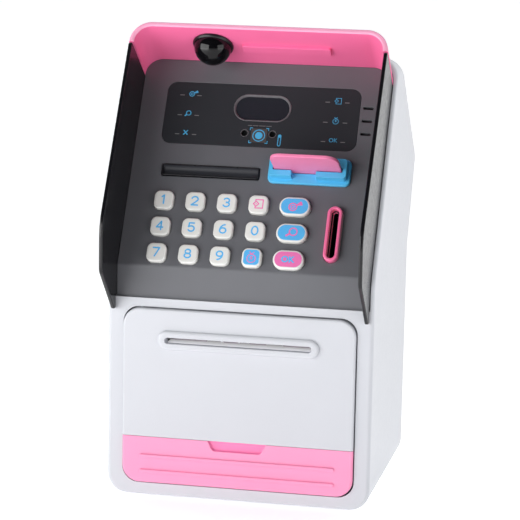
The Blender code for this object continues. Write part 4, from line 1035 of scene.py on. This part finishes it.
def make_display_signs():
    signs = Marks(0.0)
    dashes = Marks(0.0)
    left = -0.0389
    right = 0.0400
    rows = (0.0975, 0.0861, 0.0752)
    draw_key_sign(signs, left + 0.00025, rows[0] - 0.0002, 0.72)
    draw_lens_sign(signs, left - 0.0002, rows[1] + 0.0002, 0.00145, (-0.0018, -0.0016), 0.00045)
    for turn in (-0.0011, 0.0011):
        signs.line((left - 0.0014, rows[2] - turn), (left + 0.0006, rows[2] + turn), 0.0006)
    draw_exit_sign(signs, right + 0.0001, rows[0] - 0.0007, 0.0016, 0.00026)
    draw_bag_sign(signs, right - 0.0001, rows[1] - 0.0004, 0.0019, 0.00028)
    signs.text("OK", (right - 0.0002, rows[2] - 0.0006), 0.0022, 0.0)
    for centre, spread in ((left - 0.0003, 0.0046), (right - 0.0003, 0.0052)):
        for row in rows:
            for side in (-1, 1):
                x = centre + side * spread
                y = row - 0.0010 if centre < 0 else row - 0.0015
                dashes.line((x - 0.00102, y), (x + 0.00102, y), 0.00045)
    target = (0.0001, 0.0753)
    ground = Marks(-0.00001)
    ground.shape(outline(centred(0.0084, 0.0078, 0.0006, target)))
    ground.place("display_ground", INK_BROWN, SLOPE, "casing", "dark_lens_plastic")
    signs.disc(target, 0.0020)
    signs.ring(target, 0.0034, 0.00048)
    for side in (-1, 1):
        for rise in (-1, 1):
            x = target[0] + side * 0.0049
            y = target[1] + rise * 0.0042
            signs.path([(x - side * 0.0012, y), (x, y), (x, y - rise * 0.0012)], 0.00036)
    for start, end in ((-0.0062, -0.0042), (-0.0036, -0.0008), (-0.0002, 0.0030), (0.0036, 0.0062)):
        dashes.line((start, 0.0808), (end, 0.0808), 0.0003)
    slot = stadium(0.0018, 0.0066, (0.0113, 0.0731))
    signs.shape(outline(slot, 8), outline(inset(slot, 0.00042), 8))
    signs.line((0.0113, 0.0752), (0.0113, 0.0757), 0.0012)
    signs.place("display_signs", INK_SIGN, SLOPE, "casing", "dark_lens_plastic")
    dashes.place("display_dashes", INK_DASH, SLOPE, "casing", "dark_lens_plastic")


# ---------------------------------------------------------------- slots in the panel
def make_receipt_slot():
    """A raised frame round a smooth closed trough."""
    low, high = span("receipt_slot_bezel", SLOPE)
    border = box_corners(low.x, high.x, low.y, high.y, 0.0012)
    inner = outline(inset(border, 0.0005), 6)
    rings = [xy(outline(border, 6), -0.0026), *shoulder(border, high.z, 0.0004, 4, 6)]
    rings += [xy(inner, high.z - 0.0001), xy(inner, -0.0026)]
    rim = loft("receipt_rim", rings, SLOT_BLACK, SLOPE, ring_shaped=True)
    settle(rim, "casing", "receipt_slot_bezel", slot="black_gloss_plastic")
    bottom = low.y + 0.0004
    top = high.y - 0.0004
    depth = 0.0023
    trough = []
    for step in range(25):
        turn = pi * step / 24
        y = (bottom + top) / 2 + (top - bottom) / 2 * cos(turn)
        trough.append((y, high.z - 0.0002 - depth * sin(turn)))
    shape = [*trough, (bottom, -0.0030), (top, -0.0030)]
    # the trough takes the lighter grey copy: a painted highlight
    piece = prism("receipt_trough", shape, low.x + 0.0004, high.x - 0.0004, yz, TROUGH_PAINTED_HIGHLIGHT, SLOPE)
    settle(piece, "casing", slot="black_gloss_plastic")


def make_coin_slot():
    low, high = span("coin_slot_bezel", SLOPE)
    centre = ((low.x + high.x) / 2, (low.y + high.y) / 2)
    border = stadium(high.x - low.x, high.y - low.y, centre)
    mouth = stadium(*COIN_MOUTH, centre)
    throat = stadium(*COIN_SLOT, centre)
    rings = [xy(outline(border, 14), -0.0024), *shoulder(border, high.z, 0.0007, 5, 14)]
    rings += [xy(outline(inset(mouth, -shrink), 14), high.z - drop) for shrink, drop in fillet(0.0004, 4)]
    rings.append(xy(outline(mouth, 14), high.z - COIN_POCKET))
    rings.append(xy(outline(throat, 14), high.z - COIN_POCKET))
    rings.append(xy(outline(throat, 14), -0.0024))
    bezel = loft("coin_rim", rings, COIN_PINK_GLOWING, SLOPE, ring_shaped=True)
    settle(bezel, "casing", "coin_slot_bezel", slot="pink_plastic")
    shape = inset(mouth, 0.00005)
    top = high.z - 0.0033
    floor = slab("coin_guide", shape, -0.0006, top, BLACK, SLOPE, [throat], edge=0.0001, steps=14)
    settle(floor, "casing", slot="black_plastic")


def make_reader():
    low, high = span("card_reader", SLOPE)
    card_low, card_high = span("bank_card", SLOPE)
    border = box_corners(low.x, high.x, low.y, high.y, 0.0032)
    card_y = (card_low.y + card_high.y) / 2
    slot_low = (card_low.x - 0.0005, card_low.y - 0.0004, -0.016)
    slot_high = (card_high.x + 0.0005, card_high.y + 0.0004, 0.02)
    slots = [block(f"card_slot_{index}", slot_low, slot_high, BLUE, SLOPE) for index in range(2)]

    base = slab("reader_base", border, 0.0003, 0.0018, BLUE, SLOPE, edge=0.0007)
    carve(base, [slots[0]])
    settle(base, "casing", "card_reader", slot="blue_plastic")

    block_shape = box_corners(*READER_BLOCK, 0.0020)
    hump = loft(
        "reader_body",
        [xy(outline(block_shape, 6), 0.0010), xy(outline(inset(block_shape, 0.0002), 6), high.z)],
        BLUE,
        SLOPE,
    )
    left, right = READER_NOTCH
    notch = block("reader_notch", (left, 0.0480, 0.0016), (right, card_y, 0.02), BLUE, SLOPE)
    carve(hump, [slots[1], notch], edge=0.0009, segments=5, angle=50.0)
    settle(hump, "casing", slot="blue_plastic")

    low_corner = (card_low.x - 0.0015, card_low.y - 0.0014, -0.017)
    high_corner = (card_high.x + 0.0015, card_high.y + 0.0014, 0.0006)
    throat = block("reader_throat", low_corner, high_corner, BLUE, SLOPE)
    settle(throat, "casing", slot="blue_plastic")

    card = [
        (card_low.x, card_low.z, 0.001),
        (card_high.x, card_low.z, 0.001),
        (card_high.x, card_high.z, 0.0068),
        (card_low.x, card_high.z, 0.0060),
    ]
    faces = (card_low.y, card_high.y)
    piece = slab("pink_card", card, *faces, CARD_PINK, SLOPE, edge=0.0005, lift=xz, both=True, steps=12)
    settle(piece, "bank_card", "bank_card", slot="pink_plastic")


def make_camera_dome():
    low, high = span("camera_dome", CEILING)
    centre = ((low.x + high.x) / 2, (low.y + high.y) / 2)
    radius = (high.x - low.x) / 2
    drop = high.z - radius
    profile = [(radius, 0.0004)]
    for step in range(18):
        angle = radians(5 * step)
        profile.append((radius * cos(angle), drop + radius * sin(angle)))
    profile.append((radius * 0.012, high.z))
    dome = turned("glass_dome", profile, DOME, CEILING, 72, centre=centre)
    settle(dome, "casing", "camera_dome", slot="black_gloss_plastic")
    outer = (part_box("camera_collar")[1].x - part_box("camera_collar")[0].x) / 2
    profile = [
        (outer - 0.0002, 0.0002),
        (outer, 0.0004),
        (outer, 0.0010),
        (outer - 0.0002, 0.0014),
        (radius + 0.0004, 0.0019),
        (radius + 0.0002, 0.0020),
        (radius + 0.0001, 0.0019),
        (radius + 0.0001, 0.0002),
    ]
    collar = turned("dome_collar", profile, BLACK, CEILING, 72, ring_shaped=True, centre=centre)
    settle(collar, "casing", "camera_collar", slot="black_plastic")


# ---------------------------------------------------------------- door
def make_door():
    low, high = span("door", CASING)
    face = -DOOR_PROUD
    back = 0.0026
    shape = box_corners(low.x, high.x, low.z, high.z, DOOR_CORNER)
    edge = 0.0011
    rings = [xz(outline(inset(shape, shrink), 14), face + drop) for shrink, drop in fillet(edge, 5)]
    rings.append(xz(outline(shape, 14), back))
    door = loft("front_door", rings, DOOR_WHITE, CASING)
    step = block("trim_step", (-0.07, -0.01, 0), (0.07, 0.0011, TRIM_TOP), DOOR_WHITE, CASING)
    rim = stadium(*NOTE_RIM, (0, NOTE_SLOT_HEIGHT))
    lip_face = low.y
    rings = [xz(outline(rim, 14), 0.0)]
    pillow = [(1.7 * shrink, drop) for shrink, drop in reversed(fillet(0.0012, 6))]
    rings += [xz(outline(inset(rim, shrink), 14), lip_face + drop) for shrink, drop in pillow]
    lip = loft("note_lip", rings, DOOR_WHITE, CASING)
    slot = stadium(*NOTE_SLOT, (0, NOTE_SLOT_HEIGHT))
    rings = [xz(outline(inset(slot, -shrink), 8), lip_face + drop) for shrink, drop in fillet(0.0005, 4)]
    rings.insert(0, xz(outline(inset(slot, -0.0005), 8), -0.01))
    rings.append(xz(outline(slot, 8), 0.01))
    mouth = loft("note_mouth", rings, DOOR_WHITE, CASING)
    lugs = [
        block("upper_lug", (-0.055, 0.0021, 0.0930), (-0.049, 0.0048, high.z), DOOR_WHITE, CASING),
        block("lower_lug", (-0.055, 0.0021, low.z), (-0.049, 0.0048, 0.0140), DOOR_WHITE, CASING),
    ]
    keeper = block("keeper", (0.0540, 0.0021, 0.0500), (0.0565, 0.0120, 0.0620), DOOR_WHITE, CASING)
    window = block("keeper_window", (0.05, 0.0060, 0.0540), (0.06, 0.0100, 0.0580), DOOR_WHITE, CASING)
    carve(door, [step], [lip, *lugs, keeper], [mouth, window])
    settle(door, "door", "door", slot="white_plastic")
    for name, x in (("left_guide_nub", -0.0083), ("right_guide_nub", 0.0009)):
        root = NOTE_SLOT_HEIGHT + 0.0017
        tooth = [(x - 0.0006, root), (x, root - 0.0010), (x + 0.0006, root)]
        nub = prism(name, tooth, lip_face + 0.0004, lip_face + 0.0020, xz, DOOR_WHITE, CASING)
        settle(nub, "door", slot="white_plastic")
    make_note_guide()
    make_trim()


def make_note_guide():
    """A sill behind the note slot, and a wall behind that with a window for each pair of drums."""
    end = NOTE_GUIDE_HALF
    sill = [(-0.0010, -0.0030), (0.0077, -0.0030), (0.0077, -0.0012), (0.0073, -0.0011)]
    sill.append((-0.0010, -0.00145))
    shape = [(y, NOTE_SLOT_HEIGHT + z) for y, z in sill]
    # the sill glows: painted light inside the note slot
    floor = prism("note_guide", shape, -end, end, yz, GUIDE_GLOWING_WHITE, CASING)
    settle(floor, "door", slot="white_plastic")
    windows = [middle + side * (width / 2 + GAP) for middle, width in DRUMS for side in (-1, 1)]
    edges = [-end, *windows, end]
    for index in range(0, len(edges), 2):
        low_corner = (edges[index], 0.0058, NOTE_SLOT_HEIGHT - 0.0030)
        high_corner = (edges[index + 1], 0.0077, NOTE_SLOT_HEIGHT - 0.0004)
        # the stops take the mid grey: painted shade at the top of the note slot
        stop = block(f"note_stop_{index}", low_corner, high_corner, GUIDE_PAINTED_SHADE, CASING)
        settle(stop, "door", slot="white_plastic")


def make_trim():
    """The pink lower front, a little higher than the CAD part so that it clears the doorway when open."""
    low, high = span("door_trim", CASING)
    face = -TRIM_PROUD
    edge = 0.0012
    top = high.z
    bottom = low.z + 0.0003
    corners = [
        (low.x, bottom, DOOR_CORNER),
        (high.x, bottom, DOOR_CORNER),
        (high.x, top, 0.00002),
        (low.x, top, 0.00002),
    ]

    def ring(shrink, level):
        points = [(x, z, r) for x, z, r in inset(corners, shrink)]
        points = [(x, top if z > 0.02 else z, r) for x, z, r in points]
        return xz(outline(points, 14), level)

    rings = [ring(shrink, face + drop) for shrink, drop in fillet(edge, 5)]
    rings.append(ring(0.0, high.y))
    trim = loft("pink_trim", rings, TRIM_PINK, CASING)
    recess = [
        (-0.0128, 0.0270, 0.0025),
        (0.0128, 0.0270, 0.0025),
        (0.0165, 0.0345, 0.0001),
        (-0.0165, 0.0345, 0.0001),
    ]
    rings = [xz(outline(inset(recess, -shrink), 10), face + drop) for shrink, drop in fillet(0.0005, 4)]
    rings.insert(0, xz(outline(inset(recess, -0.0005), 10), face - 0.002))
    for shrink, drop in reversed(fillet(0.0007, 4)):
        rings.append(xz(outline(inset(recess, shrink), 10), -drop * 0.8))
    scoop = loft("finger_recess", rings, TRIM_PINK, CASING)
    carve(trim, [scoop])
    trim.data.materials.append(TRIM_PAINTED_SHADE)
    # faces inside the finger recess take the deeper pink copy: painted shade
    for face in trim.data.polygons:
        x, y, z = CASING.inverted() @ face.center
        face.material_index = int(abs(x) < 0.017 and z > 0.0268 and -0.0016 < y < 0.0005)
    settle(trim, "door", "door_trim", slot="pale_pink_plastic")
    for name, height in (("upper_rib", 0.0219), ("lower_rib", 0.0137)):
        bar = stadium(0.1036, 0.0019, (0, height))
        rings = [xz(outline(bar, 8), -0.0015)]
        for shrink, drop in reversed(fillet(0.0006, 5)):
            rings.append(xz(outline(inset(bar, shrink), 8), -0.0029 + drop))
        rib = loft(name, rings, TRIM_PINK, CASING)
        settle(rib, "door", slot="pale_pink_plastic")


# ---------------------------------------------------------------- note feeder
def make_roller(node):
    low, high = span(node, CASING)
    centre = ((low.y + high.y) / 2, (low.z + high.z) / 2)
    drum = DRUM_RADIUS
    shaft = SHAFT_RADIUS
    profile = [(shaft - 0.0002, low.x), (shaft, low.x + 0.0002)]
    profile += [(shaft, high.x - 0.0002), (shaft - 0.0002, high.x)]
    rod = turned(f"{node}_shaft", profile, STEEL, CASING, 32, lift=yz, centre=centre)
    settle(rod, node, node, slot="steel")
    for index, (middle, width) in enumerate(DRUMS):
        half = width / 2
        curve = fillet(0.0005, 3)
        profile = [(shaft, middle - half)]
        profile += [(drum - shrink, middle - half + drop) for shrink, drop in curve]
        profile += [(drum - shrink, middle + half - drop) for shrink, drop in reversed(curve)]
        profile.append((shaft, middle + half))
        tyre = turned(f"{node}_drum_{index}", profile, RUBBER, CASING, 40, lift=yz, centre=centre)
        settle(tyre, node, slot="soft_rubber")


def make_feeder():
    make_roller("feed_roller")
    make_roller("pinch_roller")
    low, high = span("feed_motor", CASING)
    centre = ((low.y + high.y) / 2, (low.z + high.z) / 2)
    profile = [
        (0.0026, low.x),
        (0.0052, low.x),
        (0.0058, low.x + 0.0006),
        (0.0060, low.x + 0.0012),
        (0.0060, 0.0405),
        (0.0057, 0.0415),
        (0.0026, 0.0417),
        (0.0026, 0.0438),
        (0.0010, 0.0438),
        (0.0010, high.x),
    ]
    motor = turned("motor_can", profile, STEEL, CASING, 48, lift=yz, centre=centre)
    settle(motor, "door", "feed_motor", slot="steel")


# ---------------------------------------------------------------- feet and screws
def make_feet_and_screws():
    for end in ("front", "rear"):
        for side in ("left", "right"):
            node = f"{end}_{side}_foot"
            low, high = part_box(node)
            centre = ((low.x + high.x) / 2, (low.y + high.y) / 2)
            radius = (high.x - low.x) / 2
            profile = [(radius - 0.0004, low.z), (radius - 0.0001, low.z + 0.0001)]
            profile += [(radius, low.z + 0.0003), (radius, high.z)]
            foot = turned(f"{end}_{side}_pad", profile, RUBBER, None, 48, centre=centre)
            settle(foot, "casing", node, slot="soft_rubber")
    for level in ("lower", "upper"):
        for side in ("left", "right"):
            make_screw(f"{level}_{side}_screw", level)


def make_screw(node, level):
    """A pan-head screw with a cross recess; the upper ones stand square on the sloping back."""
    slope = (Vector((TOP_BACK, CASING_TOP)) - Vector(REAR_PEAK)).normalized()
    tilt = -pi / 2 if level == "lower" else -pi / 2 - atan2(slope.x, slope.y)
    low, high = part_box(node)
    turn = Matrix.Rotation(tilt, 4, "X")
    axis = (turn @ Vector((0, 0, 1))).normalized()
    points = [vert.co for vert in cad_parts[node].data.vertices]
    reach = max(point.dot(axis) for point in points)
    x = (low.x + high.x) / 2
    across = (turn @ Vector((0, 1, 0))).normalized()
    spread = [point.dot(across) for point in points]
    middle = (min(spread) + max(spread)) / 2
    origin = axis * (reach - 0.0019) + across * middle
    place = Matrix.Translation((x, origin.y, origin.z)) @ turn
    profile = [(0.0012, -0.006), (0.0012, 0.0003), (0.0028, 0.0003), (0.0028, 0.0008)]
    for step in range(1, 6):
        angle = radians(15 * step)
        profile.append((0.0028 * cos(angle), 0.0008 + 0.0011 * sin(angle)))
    head = turned(f"{node}_head", profile, STEEL, place, 40)
    arms = [
        block(f"arm_{index}", (-half[0], -half[1], 0.0009), (half[0], half[1], 0.004), STEEL, place)
        for index, half in enumerate(((0.0014, 0.0003), (0.0003, 0.0014)))
    ]
    carve(head, arms)
    settle(head, "casing", node, slot="steel")


def dress_cad_nodes():
    """Materials for the CAD parts that stay as they are."""
    finishes = {
        "base_cover": WHITE,
        "partition": INNER,
        "coin_chute": BLACK,
        "key_mat": RUBBER,
        "circuit_board": BOARD,
        "speaker": BLACK,
        "upper_hinge_pin": STEEL,
        "lower_hinge_pin": STEEL,
        "feeder_frame": DOOR_WHITE,
        "roller_gear": NYLON,
        "motor_pinion": NYLON,
        "lock_actuator": INNER,
        "lock_bolt": STEEL,
        "battery_box": INNER,
    }
    for node, finish in finishes.items():
        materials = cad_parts[node].data.materials
        materials.clear()
        materials.append(finish)


# ---------------------------------------------------------------- studio
SKY_LIFT = 0.2
SKY_FRONT = 0.02
SKY_BACK = 1.1


def area_light(name, energy, size, location, target):
    lamp = bpy.data.lights.new(name, "AREA")
    lamp.energy = energy
    lamp.shape = "RECTANGLE"
    lamp.size, lamp.size_y = size
    holder = bpy.data.objects.new(name, lamp)
    holder.location = location
    aim = Vector(target) - Vector(location)
    holder.rotation_euler = aim.to_track_quat("-Z", "Y").to_euler()
    bpy.context.scene.collection.objects.link(holder)


def make_sky():
    """White in view; as light it is bright from above and behind, and dim from the front."""
    world = bpy.data.worlds.new("studio")
    bpy.context.scene.world = world
    world.use_nodes = True
    tree = world.node_tree
    sky = tree.nodes["Background"]
    where = tree.nodes.new("ShaderNodeTexCoord")
    parts = tree.nodes.new("ShaderNodeSeparateXYZ")
    lift = tree.nodes.new("ShaderNodeMath")
    lift.operation = "MULTIPLY_ADD"
    lift.inputs[1].default_value = SKY_LIFT
    level = tree.nodes.new("ShaderNodeMapRange")
    level.interpolation_type = "SMOOTHSTEP"
    level.inputs["From Min"].default_value = -0.2
    level.inputs["From Max"].default_value = 0.5
    level.inputs["To Min"].default_value = SKY_FRONT
    level.inputs["To Max"].default_value = SKY_BACK
    ray = tree.nodes.new("ShaderNodeLightPath")
    pick = tree.nodes.new("ShaderNodeMix")
    pick.inputs[3].default_value = 1.0
    tree.links.new(where.outputs["Generated"], parts.inputs[0])
    tree.links.new(parts.outputs["Z"], lift.inputs[0])
    tree.links.new(parts.outputs["Y"], lift.inputs[2])
    tree.links.new(lift.outputs[0], level.inputs["Value"])
    tree.links.new(ray.outputs["Is Camera Ray"], pick.inputs[0])
    tree.links.new(level.outputs["Result"], pick.inputs[2])
    tree.links.new(pick.outputs[0], sky.inputs["Strength"])
    sky.inputs["Color"].default_value = (0.98, 0.99, 1.0, 1.0)


def make_studio():
    bm = bmesh.new()
    half = 4.0
    corners = [(-half, -half), (half, -half), (half, half), (-half, half)]
    bm.faces.new([bm.verts.new((x, y, 0.0)) for x, y in corners])
    mesh = bpy.data.meshes.new("studio_floor")
    bm.to_mesh(mesh)
    bm.free()
    floor = bpy.data.objects.new("studio_floor", mesh)
    mesh.materials.append(plastic("floor_white", (252, 252, 253), 0.6, grain=0.0, cloud=0.01, glow=0.42))
    bpy.context.scene.collection.objects.link(floor)

    make_sky()
    area_light("left_softbox", 9.0, (1.1, 0.55), (-0.70, -0.76, 0.29), (0, 0, 0.15))
    area_light("right_softbox", 2.9, (0.77, 0.5), (0.90, -0.50, 0.29), (0, 0, 0.15))
    bpy.context.scene.view_settings.view_transform = "Standard"


def make_camera():
    """The view of the photograph: a little from the right and from above, with a slight roll."""
    side, lift, roll = radians(11.74), radians(10.79), radians(1.11)
    distance = 1.1848
    target = Vector((0.01027, shell_low.y, 0.13055))
    back = Vector((sin(side) * cos(lift), -cos(side) * cos(lift), sin(lift)))
    right = Vector((cos(side), sin(side), 0))
    up = Vector((-sin(side) * sin(lift), cos(side) * sin(lift), cos(lift)))
    axes = (right * cos(roll) + up * sin(roll), up * cos(roll) - right * sin(roll), back)
    placed = Matrix(axes).transposed().to_4x4()
    placed.translation = target + back * distance
    lens = bpy.data.cameras.new("camera")
    lens.lens = 160.4
    lens.sensor_width = 36
    lens.clip_start = 0.01
    camera = bpy.data.objects.new("camera", lens)
    camera.matrix_world = placed
    bpy.context.scene.collection.objects.link(camera)
    bpy.context.scene.camera = camera


make_camera()
make_studio()
make_casing()
make_rear_cover()
make_visor()
make_wings()
make_panel()
make_keys()
make_display()
make_receipt_slot()
make_coin_slot()
make_reader()
make_camera_dome()
make_door()
make_feeder()
make_feet_and_screws()
dress_cad_nodes()
